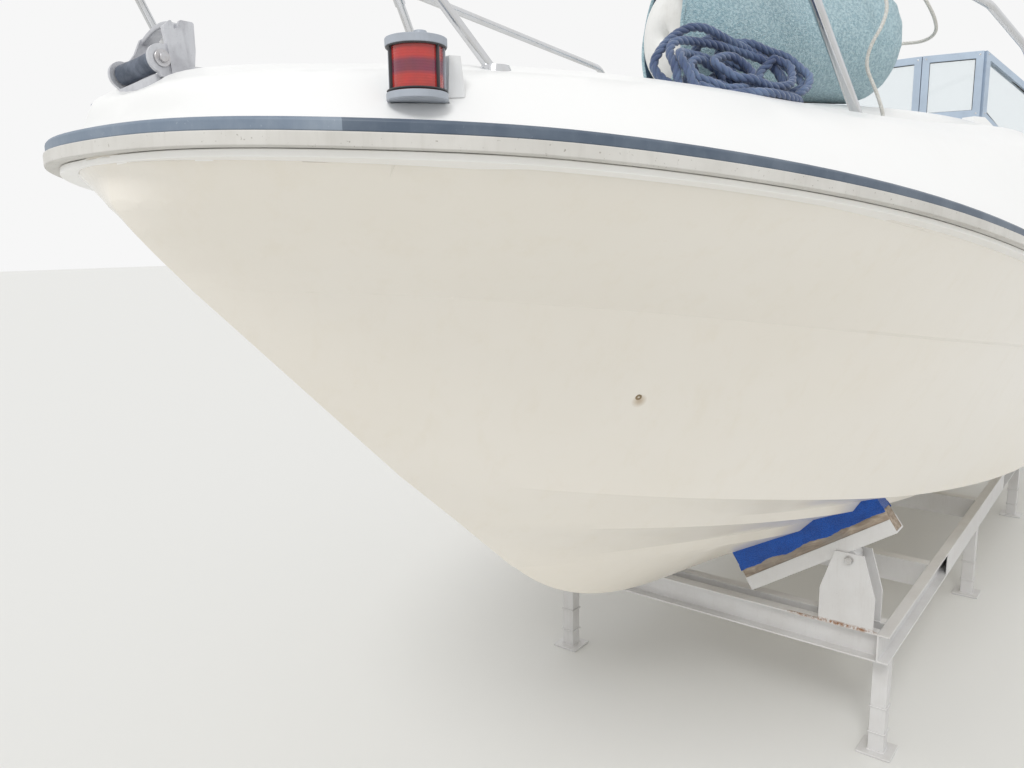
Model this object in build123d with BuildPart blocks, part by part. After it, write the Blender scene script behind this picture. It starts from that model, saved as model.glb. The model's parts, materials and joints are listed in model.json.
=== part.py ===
from build123d import *
from math import cos, radians, sin
import os

# Speedboat on its yard cradle. Millimetres, +X towards the bow, +Y to port, +Z up.
# The origin is on the ground, below the middle of the whole object.

# Driving dimensions of the boat
transom_x = -2800
hull_half_beam = 1100
well_front_x = 20
well_back_x = -1960
well_half_width = 700
sole_z = 960
splash_front_x = -2080
splash_half_width = 520
splash_floor_z = 1000
transom_top_z = 1040
transom_notch_half_width = 425
transom_thickness = 60
locker_x = 2740
locker_length = 340
locker_width = 260
locker_floor_z = 1680
locker_rim = 22
locker_top_z = 1966
rim_bottom_z = 1860
lid_thickness = 10
lid_gap = 0.5

light_x = 3030
light_y = 408
light_base_z = 1886
light_radius = 42
lens_radius = 36
light_base_height = 10
lens_height = 59
cap_height = 11

# Driving dimensions of the outboard
pivot_x = transom_x - 45
pivot_z = 1085
steering_x = transom_x - 125
propeller_z = 302
propeller_radius = 165
cowl_bottom_z = 1160
cowl_top_z = 1710

# Driving dimensions of the cradle
cradle_front_x = 1250
cradle_length = 3200
cradle_top_z = 453
channel_height = 96
channel_flange = 38
channel_wall = 6
cradle_half_width = 616
leg_size = 50
leg_stations = (cradle_front_x - 99, cradle_front_x - 1650, cradle_front_x - 3060)
bunk_width = 74
bunk_wall = 5
bunk_depth = 46
timber_above_steel = 34

# Hull lines of the port side, from the transom to the stem: (x, half breadth, height)
keel = [(transom_x, 0, 490), (-1000, 0, 490), (300, 0, 500), (1200, 0, 537), (1600, 0, 592),
        (1990, 0, 694), (2310, 0, 878)]
low_strake_edge = [(transom_x, 430, 595), (-1000, 430, 600), (300, 405, 640), (1200, 357, 730),
                   (1805, 190, 805), (2310, 0, 878)]
low_strake_step = [(transom_x, 465, 637), (-1000, 465, 642), (300, 445, 685), (1200, 400, 777),
                   (1805, 222, 842), (2332, 0, 893)]
high_strake_edge = [(transom_x, 690, 680), (-1000, 680, 690), (300, 635, 735), (1200, 522, 830),
                    (1935, 320, 947), (2500, 0, 1040)]
high_strake_step = [(transom_x, 722, 716), (-1000, 715, 726), (300, 672, 773), (1200, 545, 868),
                    (1945, 342, 978), (2520, 0, 1058)]
chine = [(transom_x, 920, 735), (-950, 900, 740), (-50, 850, 755), (800, 740, 845), (1280, 650, 920),
         (1870, 460, 1030), (2240, 290, 1105), (2700, 0, 1212)]
knuckle = [(transom_x, 970, 1160), (-750, 1020, 1210), (250, 985, 1270), (1050, 920, 1370),
           (1830, 760, 1470), (2450, 450, 1560), (3140, 0, 1625)]

# Sheer and deck crest, one row a station: x, sheer half breadth and height, crest half breadth and height
deck_stations = [
    (transom_x, 1030, 1390, 860, 1620),
    (-1700, 1085, 1410, 880, 1680),
    (-750, hull_half_beam, 1440, 870, 1790),
    (-150, 1097, 1468, 850, 1920),
    (350, 1085, 1505, 825, 2010),
    (1250, 1015, 1620, 745, 1995),
    (2000, 890, 1735, 640, 1965),
    (2700, 672, 1812, 410, 1975),
    (3050, 465, 1838, 215, 1958),
    (3250, 200, 1850, 60, 1938),
    (3285, 0, 1851, 0, 1930),
]
crest_stem_x = 3195
crest_to_deck_inset = 60
crest_to_deck_drop = 28


def deck_line(inboard, rise):
    """Points a fraction of the way in and up from the sheer to the crest."""
    line = []
    for x, sheer_y, sheer_z, crest_y, crest_z in deck_stations:
        at_stem = sheer_y == 0
        line.append((
            x + (crest_stem_x - x) * inboard if at_stem or x > crest_stem_x else x,
            sheer_y + (crest_y - sheer_y) * inboard,
            sheer_z + (crest_z - sheer_z) * rise,
        ))
    return line


def inner_deck_line():
    """The foot of the crest's inner slope, where the flat foredeck starts."""
    line = []
    for x, y, z in deck_line(1, 1)[:-2]:
        line.append((x, y - crest_to_deck_inset, z - crest_to_deck_drop))
    return line + [(crest_stem_x - crest_to_deck_inset, 0, line[-1][2] - 2)]


def mirrored(line):
    return [(x, -y, z) for x, y, z in line]


def fair_edge(line, round_bow):
    """Smooth edge along a line, square to the centre plane at a round bow."""
    if not round_bow:
        return Spline(*line)
    return Spline(*line, tangents=[(1, 0, 0), (0, -1 if line[0][1] > 0 else 1, 0)])


def moulding(lines, round_bow):
    """Solid between the port lines and their mirror image, flat at the transom."""
    port = [fair_edge(line, line in round_bow) for line in lines]
    starboard = [fair_edge(mirrored(line), line in round_bow) for line in lines]
    faces = [Face.make_surface_from_curves(port[-1], starboard[-1])]
    if lines[0][0][1] == 0:
        starboard[0] = port[0]
    else:
        faces.append(Face.make_surface_from_curves(port[0], starboard[0]))
    for side in (port, starboard):
        faces += [Face.make_surface_from_curves(low, high) for low, high in zip(side, side[1:])]
    corners = [line[0] for line in lines] + [mirrored(line)[0] for line in reversed(lines)]
    if lines[0][0][1] == 0:
        corners = corners[:-1]
    faces.append(Face(Wire.make_polygon(corners, close=True)))
    return Solid(Shell(faces))


sheer = deck_line(0, 0)
deck_side_low = deck_line(0.28, 0.36)
deck_side_high = deck_line(0.66, 0.84)
crest = deck_line(1, 1)
deck_foot = inner_deck_line()
hull_lines = [keel, low_strake_edge, low_strake_step, high_strake_edge, high_strake_step, chine, knuckle, sheer]
deck_lines = [sheer, deck_side_low, deck_side_high, crest, deck_foot]

top_of_boat = 2600


def wells():
    """Cockpit, splash well, transom notch and anchor locker, cut from hull and deck."""
    cuts = (
        (well_back_x, well_front_x, well_half_width, sole_z),
        (transom_x + transom_thickness, splash_front_x, splash_half_width, splash_floor_z),
        (transom_x - 10, transom_x + transom_thickness, transom_notch_half_width, transom_top_z),
        (locker_x - locker_length / 2, locker_x + locker_length / 2, locker_width / 2, locker_floor_z),
    )
    for back, front, half_width, floor in cuts:
        with Locations(((back + front) / 2, 0, (floor + top_of_boat) / 2)):
            Box(front - back, 2 * half_width, top_of_boat - floor, mode=Mode.SUBTRACT)


# Rub rail: corners measured outboard from the sheer and up from it, carried round the bow
rail_top = 16
insert_height = 18
insert_depth = 26
insert_seat = 8
rail_depth = 30
rail_height = 50
bead_reach = 8
bead_height = 11


def offset_line(line, outboard, up):
    """The line moved square to itself in plan, and up."""
    moved = [(line[0][0], line[0][1] + outboard, line[0][2] + up)]
    for behind, (x, y, z), ahead in zip(line, line[1:], line[2:]):
        run = ahead[0] - behind[0]
        rise = behind[1] - ahead[1]
        length = (run ** 2 + rise ** 2) ** 0.5
        moved.append((x + outboard * rise / length, y + outboard * run / length, z + up))
    x, y, z = line[-1]
    return moved + [(x + outboard, 0, z + up)]


def belt(corners):
    """Bar with this section along the whole sheer, from transom to transom."""
    lines = [offset_line(sheer, outboard, up) for outboard, up in corners]
    faces = []
    for side in (lines, [mirrored(line) for line in lines]):
        edges = [fair_edge(line, True) for line in side]
        faces += [Face.make_surface_from_curves(low, high) for low, high in zip(edges, edges[1:] + edges[:1])]
        faces.append(Face(Wire.make_polygon([line[0] for line in side], close=True)))
    return Solid(Shell(faces))


os.makedirs("parts", exist_ok=True)

# Hull: hard chine, two spray strakes a side, knuckle below the sheer, solid ahead of the cockpit.
# Its flange ends in a small rounded bead below the rub rail.
bead_top = rail_top - rail_height - 0.5
bead_corners = [(-32, bead_top), (bead_reach, bead_top), (bead_reach, bead_top - bead_height),
                (-26, bead_top - bead_height)]
with BuildPart() as hull:
    add(moulding(hull_lines, [sheer]))
    add(belt(bead_corners))
    wells()
hull.part.label = "hull"
export_step(hull.part, "parts/hull.step")

# Deck: high rounded sides up to a crest, a sunken walkway inside it, and a cambered cabin top that rises
# aft to the windscreen and falls away under its wings
trunk_stations = [
    # x, half breadth at the foot, shoulder height, crown height
    (90, 655, 2118, 2138),
    (800, 650, 2078, 2102),
    (1470, 615, 2034, 2066),
    (2060, 430, 1996, 2024),
    (2470, 150, 1948, 1962),
]
trunk_foot_z = 1880
shoulder_inset = 46
screen_front_x = 150
screen_half_width = 600
screen_wing_x = -330
screen_wing_y = 790
screen_base_z = 2139
wing_base_z = 1878
brow_half_thickness = 24


def trunk_section(x, half, shoulder, crown):
    """Cambered section of the cabin top, with rounded shoulders and steep sides."""
    with BuildSketch(Plane.YZ.offset(x)) as section:
        with BuildLine():
            Line((-half, trunk_foot_z), (half, trunk_foot_z))
            Line((half, trunk_foot_z), (half - 10, shoulder - shoulder_inset))
            Spline((half - 10, shoulder - shoulder_inset), (half - shoulder_inset, shoulder),
                   tangents=[(-0.15, 1), (-1, 0.12)])
            ThreePointArc((half - shoulder_inset, shoulder), (0, crown), (shoulder_inset - half, shoulder))
            Spline((shoulder_inset - half, shoulder), (10 - half, shoulder - shoulder_inset),
                   tangents=[(-1, -0.12), (-0.15, -1)])
            Line((10 - half, shoulder - shoulder_inset), (-half, trunk_foot_z))
        make_face()
    return section.sketch


with BuildPart() as cabin_top:
    loft([trunk_section(*station) for station in trunk_stations])

wing_run = Vector(screen_wing_x - screen_front_x, screen_wing_y - screen_half_width, 0)
with BuildPart() as screen_brow:
    with BuildSketch(Plane(origin=(screen_front_x, screen_half_width, 0), x_dir=wing_run,
                           z_dir=Vector(0, 0, 1).cross(wing_run) * -1)):
        with BuildLine():
            Polyline((-70, trunk_foot_z - 200), (wing_run.length + 30, trunk_foot_z - 200),
                     (wing_run.length + 30, wing_base_z - 16), (0, screen_base_z - 4),
                     (-70, screen_base_z - 4), close=True)
        make_face()
    extrude(amount=brow_half_thickness, both=True)
    mirror(about=Plane.XZ)

with BuildPart() as deck:
    add(moulding(deck_lines, [sheer, deck_side_low, deck_side_high, crest, deck_foot]))
    add(cabin_top.part)
    add(screen_brow.part)
    wells()
    with Locations((locker_x, 0, (locker_top_z + rim_bottom_z) / 2)):
        Box(locker_length + 2 * locker_rim, locker_width + 2 * locker_rim, locker_top_z - rim_bottom_z,
            mode=Mode.SUBTRACT)
    with Locations((light_x, light_y, light_base_z), (light_x, -light_y, light_base_z)):
        Cylinder(light_radius + 1, 100, align=(Align.CENTER, Align.CENTER, Align.MIN), mode=Mode.SUBTRACT)
deck.part.label = "deck"
export_step(deck.part, "parts/deck.step")

rail_corners = [(0, rail_top - rail_height), (rail_depth, rail_top - rail_height),
                (rail_depth, rail_top - insert_height), (insert_seat, rail_top - insert_height),
                (insert_seat, rail_top), (0, rail_top)]
insert_corners = [(insert_seat, rail_top - insert_height), (insert_depth, rail_top - insert_height),
                  (insert_depth, rail_top - 4), (insert_depth - 4, rail_top), (insert_seat, rail_top)]
for name, corners in (("rub_rail", rail_corners), ("rub_rail_insert", insert_corners)):
    with BuildPart() as rail:
        add(belt(corners))
    rail.part.label = name
    export_step(rail.part, f"parts/{name}.step")


def keep(name, part):
    """Label a finished piece and write it under its own name."""
    part.label = name
    export_step(part, f"parts/{name}.step")


def athwart(x, y, z):
    """Sketch plane square to a crosswise axis, looking to port: across is +X, up is down."""
    return Plane(origin=(x, y, z), x_dir=(1, 0, 0), z_dir=(0, 1, 0))


def astern(x, y, z):
    """Sketch plane square to the boat's length, looking aft."""
    return Plane(origin=(x, y, z), x_dir=(0, 1, 0), z_dir=(-1, 0, 0))


# Anchor locker: rim set in the deck, lid hinged at its after edge
hinge_x = locker_x - locker_length / 2 - locker_rim - 9
hinge_z = locker_top_z + 3
hinge_pin_radius = 3
hinge_barrel_radius = 6
barrel_length = 26
barrel_spread = 110
with BuildPart() as locker_rim_frame:
    with Locations((locker_x, 0, (rim_bottom_z + locker_top_z) / 2)):
        Box(locker_length + 2 * locker_rim, locker_width + 2 * locker_rim, locker_top_z - rim_bottom_z)
        Box(locker_length, locker_width, locker_top_z - rim_bottom_z, mode=Mode.SUBTRACT)
    for side in (-1, 1):
        with BuildSketch(athwart(hinge_x, side * barrel_spread - barrel_length - 1, hinge_z)):
            Circle(hinge_barrel_radius)
            with Locations((3.5, 9)):
                Rectangle(17, 12)
        extrude(amount=barrel_length)
        with BuildSketch(athwart(hinge_x, side * barrel_spread - barrel_length - 1, hinge_z)):
            Circle(hinge_pin_radius)
        extrude(amount=2 * barrel_length + 2)
keep("locker_rim", locker_rim_frame.part)

with BuildPart() as locker_lid:
    with BuildSketch(Plane.XY.offset(locker_top_z + lid_gap)):
        with Locations((locker_x, 0)):
            RectangleRounded(locker_length + 2 * locker_rim - 8, locker_width + 2 * locker_rim - 8, 24)
    extrude(amount=lid_thickness)
    for side in (-1, 1):
        with BuildSketch(athwart(hinge_x, side * barrel_spread + 1, hinge_z)):
            Circle(hinge_barrel_radius)
            with Locations((11, -4)):
                Rectangle(20, 4)
            Circle(hinge_pin_radius + 0.05, mode=Mode.SUBTRACT)
        extrude(amount=barrel_length)
keep("locker_lid", locker_lid.part)

# Bow roller: one casting of two cheeks with a hoop between them, and a forked rope guide on the port cheek.
# It sits on the crown of the deck, a few degrees down to starboard.
roller_x = 3195
roller_z = 1959
roller_lean = 5
roller_radius = 15.5
roller_length = 104
roller_pin_radius = 5
cheek_inner = 54
cheek_thickness = 6
lobe_radius = 21
casting_place = Location((roller_x, 0, roller_z), (roller_lean, 0, 0))


def cheek_plane(y):
    """Sketch plane of a cheek, in the casting's own lean: ahead is +X, up is +Y, and it looks to starboard."""
    return Plane(casting_place * Location((0, y, 0), (90, 0, 0)))


with BuildPart() as bow_roller_bracket:
    for outer_face in (-cheek_inner, cheek_inner + cheek_thickness):
        with BuildSketch(cheek_plane(outer_face)) as cheek:
            Circle(lobe_radius)
            with BuildLine():
                Polyline((-48, -26), (6, -26), (14, 14), (-14, 24), (-24, 36), (-36, 60), (-58, 60), (-56, 20),
                         close=True)
            make_face()
            fillet(cheek.vertices(), 3)
        extrude(amount=cheek_thickness)
    with BuildSketch(cheek_plane(cheek_inner + cheek_thickness + 3)) as guide:
        with BuildLine():
            Polyline((-40, -24), (-12, -24), (-9, 30), (-7, 46), (-20, 58), (-23, 42), (-35, 53), (-38, 30),
                     close=True)
        make_face()
        fillet(guide.vertices(), 2.5)
    extrude(amount=9)
    for y, x, z, depth in ((cheek_inner, -40, 50, 24), (0, -47, 66, 24), (-cheek_inner, -47, 55, 22)):
        with BuildSketch(cheek_plane(y)):
            with Locations((x, z)):
                RectangleRounded(depth, 9, 3)
    loft()
    with BuildSketch(cheek_plane(cheek_inner)):
        with Locations((-20, -46)):
            Rectangle(60, 48)
    extrude(amount=2 * cheek_inner)
    with BuildSketch(cheek_plane(cheek_inner + cheek_thickness + 2)):
        Circle(roller_pin_radius)
    extrude(amount=2 * (cheek_inner + cheek_thickness + 2))
    add(deck.part, mode=Mode.SUBTRACT)
keep("bow_roller_bracket", bow_roller_bracket.part)

with BuildPart() as bow_roller:
    with BuildSketch(cheek_plane(roller_length / 2)):
        Circle(roller_radius)
        Circle(roller_pin_radius + 0.05, mode=Mode.SUBTRACT)
    extrude(amount=roller_length)
keep("bow_roller", bow_roller.part)

# Navigation lights: one each side on the deck's outer slope, mirror images
with BuildPart() as light_plinth:
    with BuildSketch(Plane.XY.offset(light_base_z - 34)):
        with Locations((light_x - 62, light_y - 10)):
            RectangleRounded(60, 70, 12, rotation=-30)
        with Locations((light_x, light_y)):
            Circle(light_radius + 1, mode=Mode.SUBTRACT)
    extrude(amount=100, taper=6)
    add(deck.part, mode=Mode.SUBTRACT)
    mirror(about=Plane.XZ)
with BuildPart() as light_housing:
    with Locations((light_x, light_y, light_base_z)):
        Cylinder(light_radius, light_base_height, align=(Align.CENTER, Align.CENTER, Align.MIN))
    with BuildSketch(Plane.XY.offset(light_base_z + light_base_height)):
        with Locations((light_x, light_y)):
            Circle(light_radius - 3)
            Circle(lens_radius - 6, mode=Mode.SUBTRACT)
        with Locations(Location((light_x, light_y), 35)):
            with Locations((30, 0)):
                Rectangle(60, 120, mode=Mode.SUBTRACT)
    extrude(amount=lens_height)
    with Locations((light_x, light_y, light_base_z + light_base_height + lens_height)):
        Cylinder(light_radius, cap_height, align=(Align.CENTER, Align.CENTER, Align.MIN))
    with Locations((light_x - 8, light_y, light_base_z + light_base_height + lens_height + cap_height)):
        Cone(13, 9, 12, align=(Align.CENTER, Align.CENTER, Align.MIN))
    mirror(about=Plane.XZ)
with BuildPart() as port_lens:
    with BuildSketch(Plane.XY.offset(light_base_z + light_base_height)):
        with Locations((light_x, light_y)):
            Circle(lens_radius)
            Circle(lens_radius - 4, mode=Mode.SUBTRACT)
        with Locations(Location((light_x, light_y), 35)):
            with Locations((-50, 0)):
                Rectangle(100.5, 120, mode=Mode.SUBTRACT)
    extrude(amount=lens_height)
keep("nav_light_plinths", light_plinth.part)
keep("nav_light_housings", light_housing.part)
keep("nav_light_port_lens", port_lens.part)
keep("nav_light_starboard_lens", mirror(port_lens.part, about=Plane.XZ))

# Bow rail: one tube round the foredeck, carried on stanchions that rake forward
tube_radius = 12.5
rail_tip_x = 3417.7
rail_points = [(300, 838, 1990), (480, 790, 2300), (800, 716, 2396), (2140, 536, 2398), (3218, 224, 2405),
               (rail_tip_x, 128, 2420)]
rail_bend = 150
around_bow = rail_points + list(reversed(mirrored(rail_points)))
with BuildPart() as bow_rail:
    with BuildLine():
        FilletPolyline(*around_bow, radius=rail_bend)
    start = Vector(*rail_points[0])
    heading = Vector(*rail_points[1]) - start
    with BuildSketch(Plane(origin=start, z_dir=heading)):
        Circle(tube_radius)
    sweep()
    add(deck.part, mode=Mode.SUBTRACT)
keep("bow_rail", bow_rail.part)

stanchion_base_radius = 26
stanchions = [
    # foot, head, tube radius
    ((1780, 635, 1940), (2140, 536, 2392), 12.5),
    ((2830, 405, 1925), (3214, 225, 2400), 8),
]
with BuildPart() as stanchion_set:
    for foot, head, radius in stanchions:
        foot = Vector(*foot)
        head = Vector(*head)
        rake = head - foot
        with BuildSketch(Plane(origin=foot, z_dir=rake)):
            Circle(radius)
        extrude(amount=rake.length)
        with BuildSketch(Plane(origin=foot + rake * (22 / rake.Z), z_dir=(0, 0, 1))):
            Circle(stanchion_base_radius)
        extrude(amount=12, taper=20)
    add(bow_rail.part, mode=Mode.SUBTRACT)
    add(deck.part, mode=Mode.SUBTRACT)
    mirror(about=Plane.XZ)
keep("rail_stanchions", stanchion_set.part)

# Windscreen: three flat panes ahead, and a wing each side that falls away aft with the brow
frame_depth = 26
frame_bar = 26
pane_thickness = 5
screen_top_z = 2380
wing_top_z = 2200
mullion_x = 195
mullion_y = 395
frame_seat = 20
screen_posts = [
    # x, y, base height, top height
    (screen_wing_x, screen_wing_y, wing_base_z, wing_top_z),
    (screen_front_x, screen_half_width, screen_base_z, screen_top_z),
    (mullion_x, mullion_y, screen_base_z, screen_top_z),
    (mullion_x, -mullion_y, screen_base_z, screen_top_z),
    (screen_front_x, -screen_half_width, screen_base_z, screen_top_z),
    (screen_wing_x, -screen_wing_y, wing_base_z, wing_top_z),
]


def screen_panel(first, second, inset):
    """Outline of the panel between two posts, its edges moved in by the inset. A full one is seated in the deck."""
    along = Vector(second[0] - first[0], second[1] - first[1], 0)
    seat = frame_seat if inset == 0 else 0
    across = Vector(0, 0, 1).cross(along) * -1
    with BuildSketch(Plane(origin=(first[0], first[1], 0), x_dir=along, z_dir=across)) as panel:
        with BuildLine():
            low_rise = (second[2] - first[2]) / along.length
            top_rise = (second[3] - first[3]) / along.length
            Polyline(*((x, z) for x, z in (
                (inset, first[2] + inset - seat + low_rise * inset),
                (along.length - inset, second[2] + inset - seat - low_rise * inset),
                (along.length - inset, second[3] - inset - top_rise * inset),
                (inset, first[3] - inset + top_rise * inset))), close=True)
        make_face()
    return panel.sketch


with BuildPart() as windscreen_panes:
    for first, second in zip(screen_posts, screen_posts[1:]):
        extrude(screen_panel(first, second, frame_bar), amount=pane_thickness / 2, both=True)
with BuildPart() as windscreen_frame:
    for first, second in zip(screen_posts, screen_posts[1:]):
        extrude(screen_panel(first, second, 0), amount=frame_depth / 2, both=True)
    for first, second in zip(screen_posts, screen_posts[1:]):
        extrude(screen_panel(first, second, frame_bar), amount=frame_depth, both=True, mode=Mode.SUBTRACT)
    add(deck.part, mode=Mode.SUBTRACT)
keep("windscreen_frame", windscreen_frame.part)
keep("windscreen_panes", windscreen_panes.part)

# Helm and passenger seats on pedestals, console to starboard
console_y = -400
console_back_x = -330
console_half_width = 230
console_round = 28
with BuildPart() as helm_console:
    with BuildSketch(Plane.XZ.offset(-console_y - console_half_width)):
        with BuildLine():
            Polyline((well_front_x, sole_z), (console_back_x + 60, sole_z), (console_back_x + 60, sole_z + 90),
                     (console_back_x, sole_z + 130), (console_back_x + 40, 1500), (console_back_x + 60, 1640),
                     (well_front_x - 110, 1800), (well_front_x, 1800), close=True)
        make_face()
    extrude(amount=2 * console_half_width)
    aft_edges = helm_console.edges().filter_by(Axis.Y).filter_by(lambda edge: edge.center().X < well_front_x - 1
                                                                  and edge.center().Z > sole_z + 100)
    fillet(aft_edges, console_round)
keep("helm_console", helm_console.part)

# Steering wheel: rim, hub and three spokes, facing aft and tilted up
wheel_x = -345
wheel_z = 1600
wheel_radius = 165
wheel_tube = 13
wheel_tilt = 20
wheel_facing = (-cos(radians(wheel_tilt)), 0, sin(radians(wheel_tilt)))
wheel_plane = Plane(origin=(wheel_x, console_y, wheel_z), x_dir=(0, 1, 0), z_dir=wheel_facing)
rim_origin = wheel_plane.origin + wheel_plane.x_dir * wheel_radius
shaft_radius = 10
with BuildPart() as helm_wheel:
    with BuildSketch(Plane(origin=rim_origin, x_dir=wheel_plane.x_dir, z_dir=wheel_plane.y_dir)):
        Circle(wheel_tube)
    revolve(axis=Axis(wheel_plane.origin, wheel_plane.z_dir))
    with BuildSketch(wheel_plane.offset(-14)):
        Circle(34)
        with PolarLocations(wheel_radius / 2, 3, start_angle=90):
            Rectangle(wheel_radius, 26)
    extrude(amount=12)
    with BuildSketch(wheel_plane.offset(-30)):
        Circle(26)
    extrude(amount=30)
keep("helm_wheel", helm_wheel.part)

with BuildPart() as helm_shaft:
    with BuildSketch(wheel_plane.offset(-30.5)):
        Circle(shaft_radius)
    extrude(amount=-90)
    with BuildSketch(wheel_plane.offset(-44)):
        Circle(32)
    extrude(amount=-60)
    add(helm_console.part, mode=Mode.SUBTRACT)
keep("helm_shaft", helm_shaft.part)

throttle_y = console_y - 209
throttle_half_width = 20
throttle_x = console_back_x + 44
throttle_z = 1670
lever_lean = 25
with BuildPart() as throttle:
    with BuildSketch(Plane.XZ.offset(-throttle_y - throttle_half_width)):
        with Locations((throttle_x, throttle_z - 20)):
            RectangleRounded(90, 84, 26)
    extrude(amount=2 * throttle_half_width)
    lever_rise = (-sin(radians(lever_lean)), 0, cos(radians(lever_lean)))
    hub = Plane(origin=(throttle_x - 14, throttle_y, throttle_z), x_dir=(0, 1, 0), z_dir=lever_rise)
    with BuildSketch(hub):
        SlotOverall(34, 18)
    with BuildSketch(hub.offset(128)):
        SlotOverall(24, 14)
    loft()
    with BuildSketch(Plane.XZ.offset(-throttle_y - throttle_half_width - 3)):
        with Locations((hub.origin.X + hub.z_dir.X * 134, hub.origin.Z + hub.z_dir.Z * 134)):
            Circle(16)
    extrude(amount=2 * throttle_half_width + 6)
    add(helm_console.part, mode=Mode.SUBTRACT)
keep("throttle", throttle.part)

# Two bucket seats on pedestals
seat_x = -800
seat_y = 400
seat_base_z = 1380
seat_width = 440
pedestal_radius = 36
with BuildPart() as seat_pedestals:
    with Locations((seat_x, seat_y, sole_z)):
        Cylinder(130, 14, align=(Align.CENTER, Align.CENTER, Align.MIN))
        Cylinder(pedestal_radius, seat_base_z - sole_z, align=(Align.CENTER, Align.CENTER, Align.MIN))
    with Locations((seat_x, seat_y, seat_base_z - 8)):
        Box(260, 260, 16)
    mirror(about=Plane.XZ)
keep("seat_pedestals", seat_pedestals.part)

bolster_radius = 30
with BuildPart() as seats:
    with BuildSketch(Plane.XZ.offset(-seat_y - seat_width / 2)) as side_view:
        with BuildLine():
            Polyline((seat_x + 235, seat_base_z + 9), (seat_x - 225, seat_base_z + 9), (seat_x - 262, 1560),
                     (seat_x - 318, 1880), (seat_x - 214, 1905), (seat_x - 158, seat_base_z + 120),
                     (seat_x + 245, seat_base_z + 140), close=True)
        make_face()
        fillet(side_view.vertices(), 26)
    extrude(amount=seat_width)
    fillet(seats.faces().filter_by(Axis.Y).edges(), bolster_radius - 6)
    mirror(about=Plane.XZ)
keep("seats", seats.part)

# Cleats: one ahead of the anchor locker, one on each quarter. The height is the deck's at that place.
cleat_places = [(3035, 0, 1930), (-2450, 750, 1600), (-2450, -750, 1600)]
cleat_leg_spread = 30
cleat_leg_height = 32
cleat_horn_half = 95
cleat_horn_radius = 11
cleat_tip_radius = 6.5
with BuildPart() as mooring_cleats:
    for x, y, z in cleat_places:
        with BuildSketch(Plane.XY.offset(z - 8)):
            with Locations((x, y)):
                SlotOverall(124, 48)
        extrude(amount=13)
        with Locations((x + cleat_leg_spread, y, z + 4), (x - cleat_leg_spread, y, z + 4)):
            Cone(15, 8, cleat_leg_height - 4, align=(Align.CENTER, Align.CENTER, Align.MIN))
        for heading in (90, -90):
            with Locations(Location((x, y, z + 4 + cleat_leg_height), (0, heading, 0))):
                Cone(cleat_horn_radius, cleat_tip_radius, cleat_horn_half - cleat_tip_radius,
                     align=(Align.CENTER, Align.CENTER, Align.MIN))
        with Locations(*((x + end * (cleat_horn_half - cleat_tip_radius), y, z + 4 + cleat_leg_height) for end in (-1, 1))):
            Sphere(cleat_tip_radius)
    add(deck.part, mode=Mode.SUBTRACT)
keep("mooring_cleats", mooring_cleats.part)

# Rope coil and covered fender lying on the foredeck
coil_x = 2190
coil_y = 490
coil_z = 1925
coil_length = 440
coil_width = 214
coil_height = 150
coil_turn = -28
with BuildPart() as rope_coil:
    with BuildSketch(Plane.XY.offset(coil_z)):
        with Locations(Location((coil_x, coil_y), coil_turn)):
            Ellipse(coil_length / 2, coil_width / 2)
    with BuildSketch(Plane.XY.offset(coil_z + coil_height)):
        with Locations(Location((coil_x, coil_y), coil_turn)):
            Ellipse(coil_length / 2.6, coil_width / 2.8)
    loft()
    add(deck.part, mode=Mode.SUBTRACT)
keep("rope_coil", rope_coil.part)

fender_radius = 142
fender_front = Vector(2090, 268, 2152)
fender_back = Vector(1470, 560, 2188)
fender_dome = 92
dimple_radius = 34
cover_front = -6
cover_back = 40
cover_thickness = 5
fender_axis = fender_back - fender_front


def along_fender(distance):
    """Plane square to the fender, this far aft of its front end."""
    return Plane(origin=fender_front + fender_axis.normalized() * distance, z_dir=fender_axis)


with BuildPart() as fender:
    with BuildSketch(Plane(origin=fender_front, x_dir=fender_axis, z_dir=fender_axis.cross(Vector(0, 0, 1)))):
        with BuildLine():
            Line((0, 0), (fender_axis.length, 0))
            Line((fender_axis.length, 0), (fender_axis.length, dimple_radius))
            Spline((fender_axis.length, dimple_radius), (fender_axis.length - fender_dome, fender_radius),
                   tangents=[(0.1, 1), (-1, 0)])
            Line((fender_axis.length - fender_dome, fender_radius), (fender_dome, fender_radius))
            Spline((fender_dome, fender_radius), (0, dimple_radius), tangents=[(-1, 0), (-0.1, -1)])
            Line((0, dimple_radius), (0, 0))
        make_face()
    revolve(axis=Axis(fender_front, fender_axis))
    add(deck.part, mode=Mode.SUBTRACT)
keep("fender", fender.part)

with BuildPart() as fender_cover:
    with BuildSketch(along_fender(cover_front)):
        Circle(fender_radius - 22)
    with BuildSketch(along_fender(fender_dome)):
        Circle(fender_radius + cover_thickness)
    loft()
    with BuildSketch(along_fender(fender_dome)):
        Circle(fender_radius + cover_thickness)
    extrude(amount=fender_axis.length - fender_dome - cover_back)
    with BuildSketch(along_fender(cover_front - 1)):
        Circle(fender_radius - 28)
    with BuildSketch(along_fender(fender_dome)):
        Circle(fender_radius + 0.3)
    loft(mode=Mode.SUBTRACT)
    with BuildSketch(along_fender(fender_dome)):
        Circle(fender_radius + 0.3)
    extrude(amount=fender_axis.length - fender_dome - cover_back, mode=Mode.SUBTRACT)
    add(deck.part, mode=Mode.SUBTRACT)
    add(fender.part, mode=Mode.SUBTRACT)
keep("fender_cover", fender_cover.part)

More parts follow.
